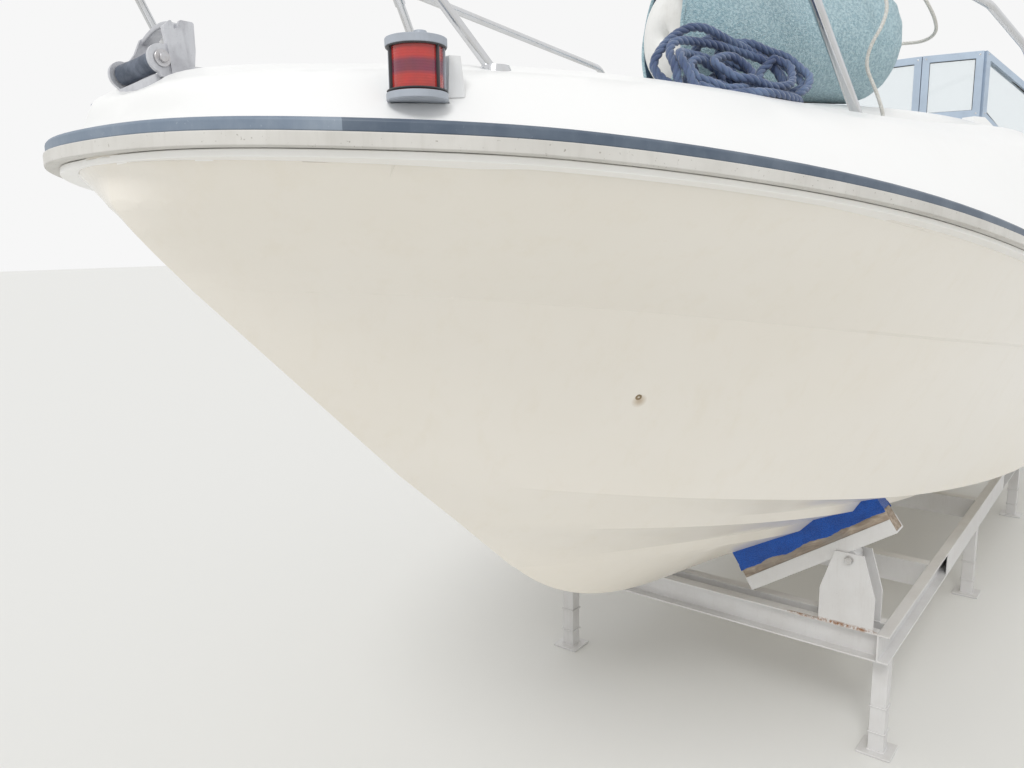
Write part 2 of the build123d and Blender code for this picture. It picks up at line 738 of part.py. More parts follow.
# Outboard: clamp bracket on the transom, swivel bracket tilting on it, engine steering on that
clamp_half_gap = 86
clamp_plate = 16
pivot_radius = 12
clamp_outline = (
    (transom_x, 760), (transom_x - 60, 760), (transom_x - 75, pivot_z), (transom_x - 45, pivot_z + 24),
    (transom_x + 78, pivot_z), (transom_x + 78, splash_floor_z + 4), (transom_x + 60, splash_floor_z + 4),
    (transom_x + 60, transom_top_z), (transom_x, transom_top_z),
)
with BuildPart() as clamp_bracket:
    for side in (-1, 1):
        with BuildSketch(Plane(origin=(0, side * clamp_half_gap, 0), x_dir=(1, 0, 0), z_dir=(0, side, 0))):
            with BuildLine():
                Polyline(*((x, -side * z) for x, z in clamp_outline), close=True)
            make_face()
        extrude(amount=clamp_plate)
    with BuildSketch(athwart(pivot_x, -clamp_half_gap - clamp_plate, pivot_z)):
        Circle(pivot_radius)
    extrude(amount=2 * (clamp_half_gap + clamp_plate))
keep("clamp_bracket", clamp_bracket.part)

swivel_half_width = 80
swivel_top_z = 1112
swivel_bottom_z = 640
swivel_tube_radius = 38
king_pin_radius = 17
with BuildPart() as swivel_bracket:
    with BuildSketch(athwart(0, -swivel_half_width, 0)):
        with Locations((pivot_x, -pivot_z)):
            Circle(27)
        with BuildLine():
            Polyline((pivot_x, -pivot_z - 27), (steering_x, -swivel_top_z), (steering_x, -940),
                     (steering_x + 30, -920), (pivot_x + 20, -pivot_z + 18), close=True)
        make_face()
    extrude(amount=2 * swivel_half_width)
    with BuildSketch(athwart(0, -swivel_tube_radius + 8, 0)):
        with BuildLine():
            Polyline((steering_x, -960), (steering_x + 46, -930), (steering_x + 36, -swivel_bottom_z),
                     (steering_x, -swivel_bottom_z), close=True)
        make_face()
    extrude(amount=2 * swivel_tube_radius - 16)
    with BuildSketch(Plane.XY.offset(swivel_bottom_z)):
        with Locations((steering_x, 0)):
            Circle(swivel_tube_radius)
    extrude(amount=swivel_top_z - swivel_bottom_z)
    with BuildSketch(Plane.XY.offset(swivel_bottom_z - 1)):
        with Locations((steering_x, 0)):
            Circle(king_pin_radius + 0.05)
    extrude(amount=swivel_top_z - swivel_bottom_z + 2, mode=Mode.SUBTRACT)
    with BuildSketch(athwart(pivot_x, -swivel_half_width - 1, pivot_z)):
        Circle(pivot_radius + 0.05)
    extrude(amount=2 * swivel_half_width + 2, mode=Mode.SUBTRACT)
keep("swivel_bracket", swivel_bracket.part)

leg_front_x = steering_x - 100
spray_plate_z = 482
torpedo_length = 250
torpedo_radius = 50
skeg_depth = 195
propeller_shaft_radius = 14
cowl_length = 500


def cowl_outline(back, front_radius, back_radius, spread):
    """Sketch of the cowl's outline: one round front and two round rear corners."""
    with Locations((steering_x - back - front_radius, 0)):
        Circle(front_radius)
    with Locations(*((steering_x - cowl_length + back_radius + back * 0.4, side * spread) for side in (-1, 1))):
        Circle(back_radius)
    make_hull()


with BuildPart() as engine_leg:
    # height, half breadth, length
    leg_sections = ((cowl_bottom_z - 40, 150, 250), (900, 60, 200), (560, 52, 200), (440, 50, 210))
    for (z0, half0, long0), (z1, half1, long1) in zip(leg_sections, leg_sections[1:]):
        with BuildSketch(Plane.XY.offset(z0)):
            with Locations((leg_front_x - long0 / 2, 0)):
                RectangleRounded(long0, 2 * half0, 40)
        with BuildSketch(Plane.XY.offset(z1)):
            with Locations((leg_front_x - long1 / 2, 0)):
                RectangleRounded(long1, 2 * half1, 40)
        loft()
    with BuildSketch(Plane.XY.offset(cowl_bottom_z - 40)):
        cowl_outline(0, 80, 90, 85)
    extrude(amount=40)
    for z in (cowl_bottom_z - 40, swivel_bottom_z - 32):
        with BuildSketch(Plane.XY.offset(z)):
            with Locations((steering_x - 62, 0)):
                SlotOverall(200, 84)
        extrude(amount=26)
    with BuildSketch(Plane.XY.offset(swivel_bottom_z - 20)):
        with Locations((steering_x, 0)):
            Circle(king_pin_radius)
    extrude(amount=swivel_top_z - swivel_bottom_z + 40)
    with BuildSketch(Plane.XY.offset(spray_plate_z)):
        with Locations((leg_front_x - 150, 0)):
            RectangleRounded(400, 190, 60)
    extrude(amount=10)
    with BuildSketch(astern(leg_front_x + 40, 0, propeller_z)):
        Circle(20)
    with BuildSketch(astern(leg_front_x - 40, 0, propeller_z)):
        Circle(52)
    with BuildSketch(astern(leg_front_x - torpedo_length, 0, propeller_z)):
        Circle(torpedo_radius)
    loft()
    with BuildSketch(Plane.XZ.offset(-5)):
        with BuildLine():
            Polyline((leg_front_x - 20, propeller_z), (leg_front_x - 240, propeller_z),
                     (leg_front_x - 235, propeller_z - skeg_depth + 5),
                     (leg_front_x - 175, propeller_z - skeg_depth), close=True)
        make_face()
    extrude(amount=10)
    with BuildSketch(Plane.XZ.offset(-24)):
        with BuildLine():
            Polyline((leg_front_x - 10, 450), (leg_front_x - 210, 450), (leg_front_x - 230, propeller_z),
                     (leg_front_x - 10, propeller_z), close=True)
        make_face()
    extrude(amount=48)
    with BuildSketch(astern(leg_front_x - torpedo_length, 0, propeller_z)):
        Circle(propeller_shaft_radius)
    extrude(amount=110)
keep("engine_leg", engine_leg.part)

cowl_wall = 6
cowl_x = steering_x - 260
with BuildPart() as engine_cowl:
    for wall, mode in ((0, Mode.ADD), (cowl_wall, Mode.SUBTRACT)):
        with BuildSketch(Plane.XY.offset(cowl_bottom_z)):
            cowl_outline(wall, 80, 90 - wall, 85)
        with BuildSketch(Plane.XY.offset(cowl_bottom_z + 330)):
            cowl_outline(wall, 105, 105 - wall, 105)
        with BuildSketch(Plane.XY.offset(cowl_top_z - wall)):
            cowl_outline(60 + wall, 80, 90 - wall, 60)
        loft(mode=mode)
keep("engine_cowl", engine_cowl.part)

with BuildPart() as powerhead:
    with Locations((cowl_x, 0, cowl_bottom_z)):
        Box(280, 170, 340, align=(Align.CENTER, Align.CENTER, Align.MIN))
keep("powerhead", powerhead.part)

hub_x = leg_front_x - torpedo_length - 2
hub_length = 96
hub_radius = 48
blade_count = 3
blade_pitch = 35
with BuildPart() as propeller:
    with BuildSketch(astern(hub_x, 0, propeller_z)):
        Circle(hub_radius)
    extrude(amount=hub_length)
    for turn in range(blade_count):
        angle = turn * 360 / blade_count
        spin = Rotation(angle, 0, 0)
        root = Plane(Location((hub_x - hub_length / 2, 0, propeller_z)) * spin * Location((0, 0, hub_radius - 8)))
        with BuildSketch(root):
            Rectangle(70, 9, rotation=blade_pitch)
        with BuildSketch(root.offset((propeller_radius - hub_radius) * 0.55)):
            Rectangle(116, 7, rotation=blade_pitch + 20)
        with BuildSketch(root.offset(propeller_radius - hub_radius + 8)):
            Rectangle(60, 3, rotation=blade_pitch + 32)
        loft()
    with BuildSketch(astern(hub_x + 1, 0, propeller_z)):
        Circle(propeller_shaft_radius + 0.05)
    extrude(amount=hub_length + 2, mode=Mode.SUBTRACT)
keep("propeller", propeller.part)

# Cradle: side channels open outward, end beams of two channels back to back, legs on base plates
def on_front(x):
    """Place along the boat, measured aft from the cradle's front face."""
    return cradle_front_x - x


channel_middle_z = cradle_top_z - channel_height / 2
box_plate_from = 885
box_plate_to = 2290
with BuildPart() as side_channels:
    with BuildSketch(Plane.YZ.offset(cradle_front_x)):
        with Locations((cradle_half_width + channel_flange / 2, channel_middle_z)):
            Rectangle(channel_flange, channel_height)
            with Locations((channel_wall / 2, 0)):
                Rectangle(channel_flange - channel_wall, channel_height - 2 * channel_wall, mode=Mode.SUBTRACT)
    extrude(amount=-cradle_length)
    with BuildSketch(Plane.YZ.offset(on_front(box_plate_from))):
        with Locations((cradle_half_width + channel_flange - channel_wall / 2, channel_middle_z)):
            Rectangle(channel_wall, channel_height)
    extrude(amount=box_plate_from - box_plate_to)
    mirror(about=Plane.XZ)
keep("cradle_side_channels", side_channels.part)

beam_flange = 44
beam_gap = 48
beam_width = 2 * beam_flange + beam_gap
beam_stations = (0, cradle_length - beam_width)
with BuildPart() as end_beams:
    for x in beam_stations:
        for back, wall_side in ((0, -1), (beam_flange + beam_gap, 1)):
            with BuildSketch(Plane.XZ.offset(-cradle_half_width)):
                with Locations((on_front(x) - back - beam_flange / 2, channel_middle_z)):
                    Rectangle(beam_flange, channel_height)
                    with Locations((-wall_side * channel_wall / 2, 0)):
                        Rectangle(beam_flange - channel_wall, channel_height - 2 * channel_wall,
                                  mode=Mode.SUBTRACT)
            extrude(amount=2 * cradle_half_width)
keep("cradle_end_beams", end_beams.part)

cross_stations = (707, 1690)
cross_depth = 50
with BuildPart() as middle_beams:
    for x in cross_stations:
        with BuildSketch(Plane.XZ.offset(-cradle_half_width)):
            with Locations((on_front(x) - cross_depth / 2, channel_middle_z)):
                Rectangle(cross_depth, channel_height)
                with Locations((-channel_wall / 2, 0)):
                    Rectangle(cross_depth - channel_wall, channel_height - 2 * channel_wall, mode=Mode.SUBTRACT)
        extrude(amount=2 * cradle_half_width)
keep("cradle_middle_beams", middle_beams.part)

plate_size = 110
plate_thickness = 8
with BuildPart() as cradle_legs:
    for x in leg_stations:
        with Locations((x, cradle_half_width, plate_thickness)):
            Box(leg_size, leg_size, cradle_top_z - channel_height - plate_thickness,
                align=(Align.CENTER, Align.CENTER, Align.MIN))
        with Locations((x, cradle_half_width, 0)):
            Box(plate_size, plate_size, plate_thickness, align=(Align.CENTER, Align.CENTER, Align.MIN))
    mirror(about=Plane.XZ)
keep("cradle_legs", cradle_legs.part)

# Bunks, one row each: name, distance aft to the front bracket plate, inner end's breadth and height, slope, length,
# breadth and height of the pivot, bracket foot from and to
bunks = (
    ("front", 4, 200, 488, 34.0, 545, 517, 676, 430, 602),
    ("rear", cradle_length - beam_width + 4, 315, 466, 14.0, 500, 555, 512, 480, 640),
)
bracket_plate = 7
plate_spread = 88
lug_radius = 20
pivot_bolt_radius = 8


def bunk_section(x, y, z, slope, width, low, high):
    """Sketch plane along a bunk from its inner end, with a rectangle between two heights above it."""
    along = Vector(0, cos(radians(slope)), sin(radians(slope)))
    up = Vector(0, -sin(radians(slope)), cos(radians(slope)))
    middle = Vector(x, y, z) + up * ((low + high) / 2)
    return Plane(origin=middle, x_dir=(1, 0, 0), z_dir=along)


with BuildPart() as bunk_brackets:
    for name, aft, y, z, slope, length, pivot_y, pivot_up, foot_in, foot_out in bunks:
        for x in (on_front(aft), on_front(aft + plate_spread)):
            shoulder = cradle_top_z + (pivot_up - cradle_top_z) * 0.5
            with BuildSketch(Plane.YZ.offset(x)):
                with BuildLine():
                    Polyline((foot_in, cradle_top_z), (foot_out, cradle_top_z), (foot_out, shoulder),
                             (pivot_y + 45, pivot_up + 22), (pivot_y - 45, pivot_up + 22), (foot_in, shoulder),
                             close=True)
                make_face()
                with Locations((pivot_y, pivot_up)):
                    Circle(pivot_bolt_radius + 0.5, mode=Mode.SUBTRACT)
            extrude(amount=-bracket_plate)
    mirror(about=Plane.XZ)
keep("bunk_brackets", bunk_brackets.part)

with BuildPart() as bunk_channels:
    for name, aft, y, z, slope, length, pivot_y, pivot_up, foot_in, foot_out in bunks:
        x = on_front(aft) - 46
        with BuildSketch(bunk_section(x, y, z, slope, bunk_width, 0, bunk_depth)):
            Rectangle(bunk_width, bunk_depth)
        extrude(amount=length)
        with BuildSketch(Plane.YZ.offset(x + bunk_width / 2 - 4)):
            with Locations((pivot_y, pivot_up)):
                Circle(lug_radius)
            with Locations((pivot_y - 4, pivot_up + 14)):
                Rectangle(2 * lug_radius, 30, rotation=slope)
        extrude(amount=-bunk_width + 8)
        with BuildSketch(bunk_section(x, y, z, slope, bunk_width, bunk_wall, bunk_depth + 10)):
            Rectangle(bunk_width - 2 * bunk_wall, bunk_depth + 10 - bunk_wall)
        extrude(amount=length, mode=Mode.SUBTRACT)
        with BuildSketch(Plane.YZ.offset(on_front(aft) + 10)):
            with Locations((pivot_y, pivot_up)):
                Circle(pivot_bolt_radius)
        extrude(amount=-plate_spread - bracket_plate - 20)
    mirror(about=Plane.XZ)
keep("bunk_channels", bunk_channels.part)

with BuildPart() as bunk_timbers:
    for name, aft, y, z, slope, length, pivot_y, pivot_up, foot_in, foot_out in bunks:
        x = on_front(aft) - 46
        top = bunk_depth + timber_above_steel
        with BuildSketch(bunk_section(x, y, z, slope, bunk_width, bunk_wall, top)):
            Rectangle(bunk_width - 2 * bunk_wall - 1, top - bunk_wall - 0.2)
        extrude(amount=length)
    mirror(about=Plane.XZ)
keep("bunk_timbers", bunk_timbers.part)

carpet_reach = 130
with BuildPart() as bunk_carpets:
    for name, aft, y, z, slope, length, pivot_y, pivot_up, foot_in, foot_out in bunks:
        x = on_front(aft) - 46
        top = bunk_depth + timber_above_steel
        with BuildSketch(bunk_section(x, y, z, slope, bunk_width, top, top + carpet_reach)):
            Rectangle(bunk_width - 2 * bunk_wall, carpet_reach)
        extrude(amount=length)
    add(hull.part, mode=Mode.SUBTRACT)
    mirror(about=Plane.XZ)
keep("bunk_carpets", bunk_carpets.part)
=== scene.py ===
import json
import math
import random

import bmesh
import bpy
from mathutils import Matrix, Vector, bvhtree, kdtree, noise


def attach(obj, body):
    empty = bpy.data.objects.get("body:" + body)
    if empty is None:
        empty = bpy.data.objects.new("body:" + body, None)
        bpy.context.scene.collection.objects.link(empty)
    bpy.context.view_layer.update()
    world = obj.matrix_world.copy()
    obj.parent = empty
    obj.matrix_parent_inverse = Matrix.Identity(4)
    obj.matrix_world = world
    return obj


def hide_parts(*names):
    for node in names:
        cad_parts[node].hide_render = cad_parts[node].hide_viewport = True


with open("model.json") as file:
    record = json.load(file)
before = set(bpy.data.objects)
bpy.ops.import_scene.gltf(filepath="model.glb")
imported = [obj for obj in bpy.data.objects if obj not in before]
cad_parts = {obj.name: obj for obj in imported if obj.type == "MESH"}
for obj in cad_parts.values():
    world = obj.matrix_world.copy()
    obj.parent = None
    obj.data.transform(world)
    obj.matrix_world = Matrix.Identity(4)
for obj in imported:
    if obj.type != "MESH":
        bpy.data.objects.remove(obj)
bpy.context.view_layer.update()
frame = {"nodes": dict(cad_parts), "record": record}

# Camera ahead of the port bow, at eye height and turned a little down, with a short lens.
eye = Vector((3.874, 1.230, 1.701))
camera_right = Vector((-0.61864, 0.78553, -0.01461))
camera_forward = Vector((-0.77390, -0.60959, -0.17159))
camera_data = bpy.data.cameras.new("camera")
camera_data.sensor_width = 36
camera_data.lens = 29.11
camera = bpy.data.objects.new("camera", camera_data)
camera_up = camera_right.cross(camera_forward)
turn = Matrix((camera_right, camera_up, -camera_forward)).transposed().to_4x4()
camera.matrix_world = Matrix.Translation(eye) @ turn
bpy.context.scene.collection.objects.link(camera)
bpy.context.scene.camera = camera
bpy.context.scene.view_settings.view_transform = "Standard"

# Yard floor: pale and matt, wide enough to fill every view, with soft overcast light and one low-contrast sun.
floor_half_width = 60
floor_color = (0.74, 0.74, 0.72, 1)
sky_level = 0.85
sky_seen = 0.93
sun_level = 1.1


def add_node(tree, kind, inputs=None, **settings):
    """Shader node with its settings; each input is a value or another node's output."""
    made = tree.nodes.new("ShaderNode" + kind)
    for name, value in settings.items():
        setattr(made, name, value)
    for name, value in (inputs or {}).items():
        if isinstance(value, bpy.types.NodeSocket):
            tree.links.new(value, made.inputs[name])
        else:
            made.inputs[name].default_value = value
    return made


def new_finish(name, color, roughness, **more):
    """Material with one Principled shader: its node tree and shader come back with it."""
    made = bpy.data.materials.new(name)
    made.use_nodes = True
    made.diffuse_color = (*color[:3], 1)
    shader = made.node_tree.nodes["Principled BSDF"]
    shader.inputs["Base Color"].default_value = (*color[:3], 1)
    shader.inputs["Roughness"].default_value = roughness
    for key, value in more.items():
        shader.inputs[key.replace("_", " ")].default_value = value
    return made, made.node_tree, shader


def linked(name, data):
    made = bpy.data.objects.new(name, data)
    bpy.context.scene.collection.objects.link(made)
    return made


def new_piece(name, source, finish, body):
    """Object of this name from a finished bmesh or mesh, riding on a body."""
    if isinstance(source, bmesh.types.BMesh):
        mesh = bpy.data.meshes.new(name)
        source.to_mesh(mesh)
        source.free()
    else:
        mesh = source
    made = linked(name, mesh)
    if finish is not None:
        if mesh.materials:
            mesh.materials.clear()
        for one in finish if isinstance(finish, (list, tuple)) else [finish]:
            mesh.materials.append(one)
    if body:
        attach(made, body)
    return made


floor_finish, floor_tree, floor_shader = new_finish("pale_floor", floor_color, 0.9)
floor_mesh = bmesh.new()
bmesh.ops.create_grid(floor_mesh, x_segments=1, y_segments=1, size=floor_half_width)
floor = new_piece("floor", floor_mesh, floor_finish, None)

world = bpy.data.worlds.new("studio")
bpy.context.scene.world = world
world.use_nodes = True
sky = world.node_tree
sky.nodes.clear()
path = add_node(sky, "LightPath")
seen_directly = add_node(sky, "Math", {0: path.outputs["Is Camera Ray"], 1: path.outputs["Is Glossy Ray"]},
                         operation="MAXIMUM")
seen_through = add_node(sky, "Math", {0: seen_directly.outputs[0], 1: path.outputs["Is Transmission Ray"]},
                        operation="MAXIMUM")
level = add_node(sky, "MapRange", {"Value": seen_through.outputs[0], "To Min": sky_level, "To Max": sky_seen})
backdrop = add_node(sky, "Background", {"Color": (1, 1, 1, 1), "Strength": level.outputs[0]})
sky_out = add_node(sky, "OutputWorld", {"Surface": backdrop.outputs[0]})

sun_data = bpy.data.lights.new("soft_sun", "SUN")
sun_data.energy = sun_level
sun_data.angle = math.radians(20)
sun = linked("soft_sun", sun_data)
sun.rotation_euler = Vector((0.95, 0.35, 1.0)).to_track_quat("Z", "Y").to_euler()

# Mooring rope: three-strand navy polyester thrown down in loose turns on the foredeck, against the fender.
# Its turns differ in size, stand and lie over each other, and two of them are twisted together.
rope_diameter = 0.018
rope_lay = 0.050
pile_foot = Vector((2.190, 0.490, 1.940))
pile_right = Vector((-0.883, 0.469, 0))
pile_near = Vector((0.469, 0.883, 0))
rope_turns = [
    # right, near, height of the middle; half width, half height; lean back, heading, roll; twined
    (0.005, 0.020, 0.012, 0.165, 0.075, 8, 0, 0, 0),
    (-0.015, 0.015, 0.028, 0.140, 0.065, 10, 8, 0, 0),
    (0.020, 0.020, 0.040, 0.120, 0.070, 14, -6, 0, 0),
    (-0.060, 0.035, 0.060, 0.085, 0.060, 35, 14, 10, 0),
    (0.060, 0.020, 0.065, 0.105, 0.062, 30, -8, -8, 0),
    (-0.120, 0.030, 0.085, 0.048, 0.055, 62, 30, 0, 0),
    (-0.080, 0.040, 0.075, 0.052, 0.050, 55, 10, 20, 0),
    (-0.015, 0.045, 0.098, 0.070, 0.045, 38, 0, 8, 0),
    (0.120, 0.015, 0.085, 0.050, 0.050, 60, -25, 0, 0),
    (0.085, -0.010, 0.105, 0.112, 0.066, 62, -4, -12, 0),
    (0.060, -0.030, 0.115, 0.120, 0.062, 66, 0, -14, 0),
    (-0.025, 0.010, 0.085, 0.160, 0.098, 66, 4, -8, 1),
    (-0.025, 0.010, 0.085, 0.160, 0.098, 66, 4, -8, -1),
    (-0.060, 0.020, 0.070, 0.130, 0.080, 50, 10, 4, 0),
]
points_a_turn = 14
twine_turns = 5
rope_wander = 0.004
settle_rounds = 14
random.seed(11)


def smooth_line(name, points):
    """Points along the NURBS line that has these control points."""
    curve = bpy.data.curves.new(name, "CURVE")
    curve.dimensions = "3D"
    curve.resolution_u = 6
    spline = curve.splines.new("NURBS")
    spline.points.add(len(points) - 1)
    for point, place in zip(spline.points, points):
        point.co = (*place, 1)
    spline.order_u = 3
    spline.use_endpoint_u = True
    route = linked(name, curve)
    bpy.context.view_layer.update()
    mesh = bpy.data.meshes.new_from_object(route)
    line = [vertex.co.copy() for vertex in mesh.vertices]
    bpy.data.objects.remove(route)
    bpy.data.meshes.remove(mesh)
    return line


def even_line(line, step):
    """The same line with its points one step apart."""
    made = [line[0]]
    left = step
    for start, end in zip(line, line[1:]):
        run = (end - start).length
        while run > 0 and left <= run:
            made.append(start.lerp(end, left / run))
            left += step
        left -= run
    return made


def strand_mesh(name, line, diameter, lay, strands, sides):
    """Laid rope: its strands are tubes wound round the line, one turn every lay."""
    strand_radius = diameter / 2 * 0.60
    reach = diameter / 2 * 0.44
    curve = bpy.data.curves.new(name, "CURVE")
    curve.dimensions = "3D"
    curve.bevel_depth = strand_radius
    curve.bevel_resolution = sides
    curve.use_fill_caps = True
    side = Vector((0, 0, 1))
    frames = []
    travelled = 0
    for behind, here, ahead in zip([line[0]] + line, line, line[1:] + [line[-1]]):
        along = (ahead - behind).normalized()
        side = (side - along * side.dot(along)).normalized()
        travelled += (here - behind).length
        frames.append((here, side, along.cross(side), 2 * math.pi * travelled / lay))
    for number in range(strands):
        spline = curve.splines.new("POLY")
        spline.points.add(len(frames) - 1)
        start = 2 * math.pi * number / strands
        for point, (here, u, v, angle) in zip(spline.points, frames):
            place = here + (u * math.cos(angle + start) + v * math.sin(angle + start)) * reach
            point.co = (*place, 1)
    holder = linked(name, curve)
    bpy.context.view_layer.update()
    mesh = bpy.data.meshes.new_from_object(holder)
    bpy.data.objects.remove(holder)
    mesh.shade_smooth()
    return mesh


def surface_of(*names):
    """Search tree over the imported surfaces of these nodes."""
    points = []
    faces = []
    for name in names:
        mesh = frame["nodes"][name].data
        start = len(points)
        points += [vertex.co.copy() for vertex in mesh.vertices]
        faces += [[start + corner for corner in face.vertices] for face in mesh.polygons]
    return bvhtree.BVHTree.FromPolygons(points, faces)


fender_front = Vector((2.090, 0.268, 2.152))
fender_back = Vector((1.470, 0.560, 2.188))
fender_radius = 0.142
fender_along = (fender_back - fender_front).normalized()
fender_length = (fender_back - fender_front).length
deck_surface = surface_of("deck")


def clear_of_boat(point, radius):
    """The point moved out of the deck and of the covered fender, by a rope's radius."""
    hit = deck_surface.ray_cast(Vector((point.x, point.y, 2.3)), Vector((0, 0, -1)))[0]
    if hit and point.z < hit.z + radius:
        point = Vector((point.x, point.y, hit.z + radius))
    distance = (point - fender_front).dot(fender_along)
    if -0.02 < distance < fender_length:
        on_axis = fender_front + fender_along * distance
        out = point - on_axis
        inside = min(max(distance + 0.02, 0) / 0.09, 1)
        needed = (fender_radius + 0.006) * (0.75 + 0.25 * inside) + radius
        if out.length < needed:
            point = on_axis + out.normalized() * needed
    return point


rope_route = []
for step in range(points_a_turn * (len(rope_turns) - 1)):
    number, share = divmod(step / points_a_turn, 1)
    before = rope_turns[int(number)]
    after = rope_turns[int(number) + 1]
    right, near, height, wide, tall, lean, heading, roll, twined = (a + (b - a) * share
                                                                    for a, b in zip(before, after))
    angle = 2 * math.pi * share + 2.4
    flat = Matrix.Rotation(math.radians(roll), 2)
    across, up = flat @ Vector((wide * math.cos(angle), tall * math.sin(angle)))
    twist = twined * rope_diameter * 0.55
    across += twist * math.cos(twine_turns * angle)
    swing = Matrix.Rotation(math.radians(heading), 3, "Z")
    sideways = swing @ pile_right
    level_back = swing @ -pile_near
    upwards = Vector((0, 0, math.sin(math.radians(lean)))) + level_back * math.cos(math.radians(lean))
    outwards = sideways.cross(upwards)
    place = pile_foot + pile_right * right + pile_near * near + Vector((0, 0, height))
    place += sideways * across + upwards * up + outwards * twist * math.sin(twine_turns * angle)
    rope_route.append(place + Vector([random.uniform(-rope_wander, rope_wander) for _ in range(3)]))

for settling in range(settle_rounds):
    line = smooth_line("rope_route", rope_route)
    each = len(line) / len(rope_route)
    finder = kdtree.KDTree(len(line))
    for index, point in enumerate(line):
        finder.insert(point, index)
    finder.balance()
    moves = [Vector() for _ in rope_route]
    counts = [0] * len(rope_route)
    for index, point in enumerate(line):
        for other, other_index, distance in finder.find_range(point, rope_diameter * 1.02):
            if abs(other_index - index) > 3 * each and distance > 1e-6:
                own = min(int(index / each + 0.5), len(rope_route) - 1)
                moves[own] += (point - other).normalized() * (rope_diameter * 1.02 - distance) * 0.5
                counts[own] += 1
    rope_route = [clear_of_boat(point + move / max(count, 1) * 0.9, rope_diameter / 2)
                  for point, move, count in zip(rope_route, moves, counts)]
    for point in rope_route:
        point.z -= 0.0006

rope_finish, tree, shader = new_finish("navy_rope", (0.07, 0.11, 0.22), 0.72, Sheen_Weight=0.35,
                                       Sheen_Roughness=0.5)
place = add_node(tree, "TexCoord")
fibres = add_node(tree, "TexNoise", {"Vector": place.outputs["Object"], "Scale": 420.0, "Detail": 3.0})
fading = add_node(tree, "TexNoise", {"Vector": place.outputs["Object"], "Scale": 14.0, "Detail": 2.0})
faded = add_node(tree, "ValToRGB", {"Fac": fading.outputs["Fac"]})
faded.color_ramp.elements[0].position = 0.3
faded.color_ramp.elements[0].color = (0.040, 0.066, 0.150, 1)
faded.color_ramp.elements[1].position = 0.75
faded.color_ramp.elements[1].color = (0.130, 0.190, 0.320, 1)
tint = add_node(tree, "Mix", {0: 0.25, 6: faded.outputs[0], 7: fibres.outputs["Color"]}, data_type="RGBA",
                blend_type="OVERLAY")
lift = add_node(tree, "Bump", {"Height": fibres.outputs["Fac"], "Strength": 0.5, "Distance": 0.001})
tree.links.new(tint.outputs[2], shader.inputs["Base Color"])
tree.links.new(lift.outputs[0], shader.inputs["Normal"])

rope_line = even_line(smooth_line("rope_route", rope_route), 0.0045)
rope = new_piece("mooring_rope", strand_mesh("mooring_rope", rope_line, rope_diameter, rope_lay, 3, 1),
                 rope_finish, "boat")
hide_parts("rope_coil")

# Hull: laminate with a cream gelcoat, laid up in one mould, with hard chines, two spray strakes a side and a
# stepped knuckle. Its flange turns out under the rub rail and ends in a small bead, painted whiter than the hull
# as painted sky light. Low down the gelcoat is painted darker and warmer, as painted shade and reflected ground
# light.
gelcoat_cream = (0.875, 0.835, 0.765)
# Darker, warmer cream for low on the hull: painted shade and painted reflected light from the ground.
gelcoat_low_shaded = (0.850, 0.790, 0.680)
gelcoat_stain = (0.760, 0.680, 0.520)
# The bead is the hull's own gelcoat, painted whiter here as painted sky light on its lip.
bead_sky_lit_white = (0.940, 0.935, 0.915)
chine_shade_top = 0.95
chine_shade_foot = 0.60
knuckle_heights = [(-2.8, 1.16), (-2.2, 1.178), (-1.6, 1.1899), (-1.0, 1.2028), (-0.5, 1.2192), (0, 1.248),
                   (0.4, 1.2862), (0.8, 1.337), (1.2, 1.3894), (1.6, 1.4395), (2.0, 1.4945), (2.3, 1.5386),
                   (2.6, 1.5792), (2.85, 1.6059), (3.0, 1.6177), (3.14, 1.625)]
sheer_heights = [(-2.8, 1.39), (-2.2, 1.3969), (-1.6, 1.4129), (-1.0, 1.4311), (-0.5, 1.4502), (0, 1.4774),
                 (0.4, 1.5098), (0.8, 1.5559), (1.2, 1.6123), (1.6, 1.6749), (2.0, 1.7352), (2.3, 1.7724),
                 (2.6, 1.8033), (2.85, 1.8239), (3.0, 1.8347), (3.14, 1.8438), (3.2, 1.8474), (3.3, 1.851)]
stem_moves = [(1.60, 0), (1.625, 0), (1.686, 0.021), (1.722, 0.031), (1.757, 0.033), (1.80, 0.010),
              (1.90, 0.006)]
bow_from = 2.90
bow_to = 3.20
rail_set_back = 0.020
rail_set_down = 0.003
rail_foot_from = 0.0315
rail_foot_to = 0.0362
groove_top = 0.012
bead_foot = 0.0485
foot_lift = 0.012
cove_lift = 0.009
nose_from = 2.95
knuckle_half_width = 0.004
knuckle_step = 0.0035
step_to = 2.86


def between(table, value):
    """Straight interpolation in a table of (value, result)."""
    for (low, first), (high, last) in zip(table, table[1:]):
        if value <= high:
            return first + (last - first) * max(value - low, 0) / (high - low)
    return table[-1][1]


def eased(value, low, high):
    share = min(max((value - low) / (high - low), 0), 1)
    return share * share * (3 - 2 * share)


def sheer_drop(place):
    return between(sheer_heights, place.x) - place.z


def fair_bow(shape):
    """Sets the nose of rail, insert and deck a little back, as the mould has it, and shortens the rail's foot."""
    for vertex in shape.verts:
        ahead = eased(vertex.co.x, bow_from, bow_to) * (1 - eased(vertex.co.z, 1.872, 1.925))
        drop = sheer_drop(vertex.co)
        if rail_foot_from < drop < rail_foot_to:
            vertex.co.z += foot_lift
        vertex.co.x -= rail_set_back * ahead
        vertex.co.z -= rail_set_down * ahead


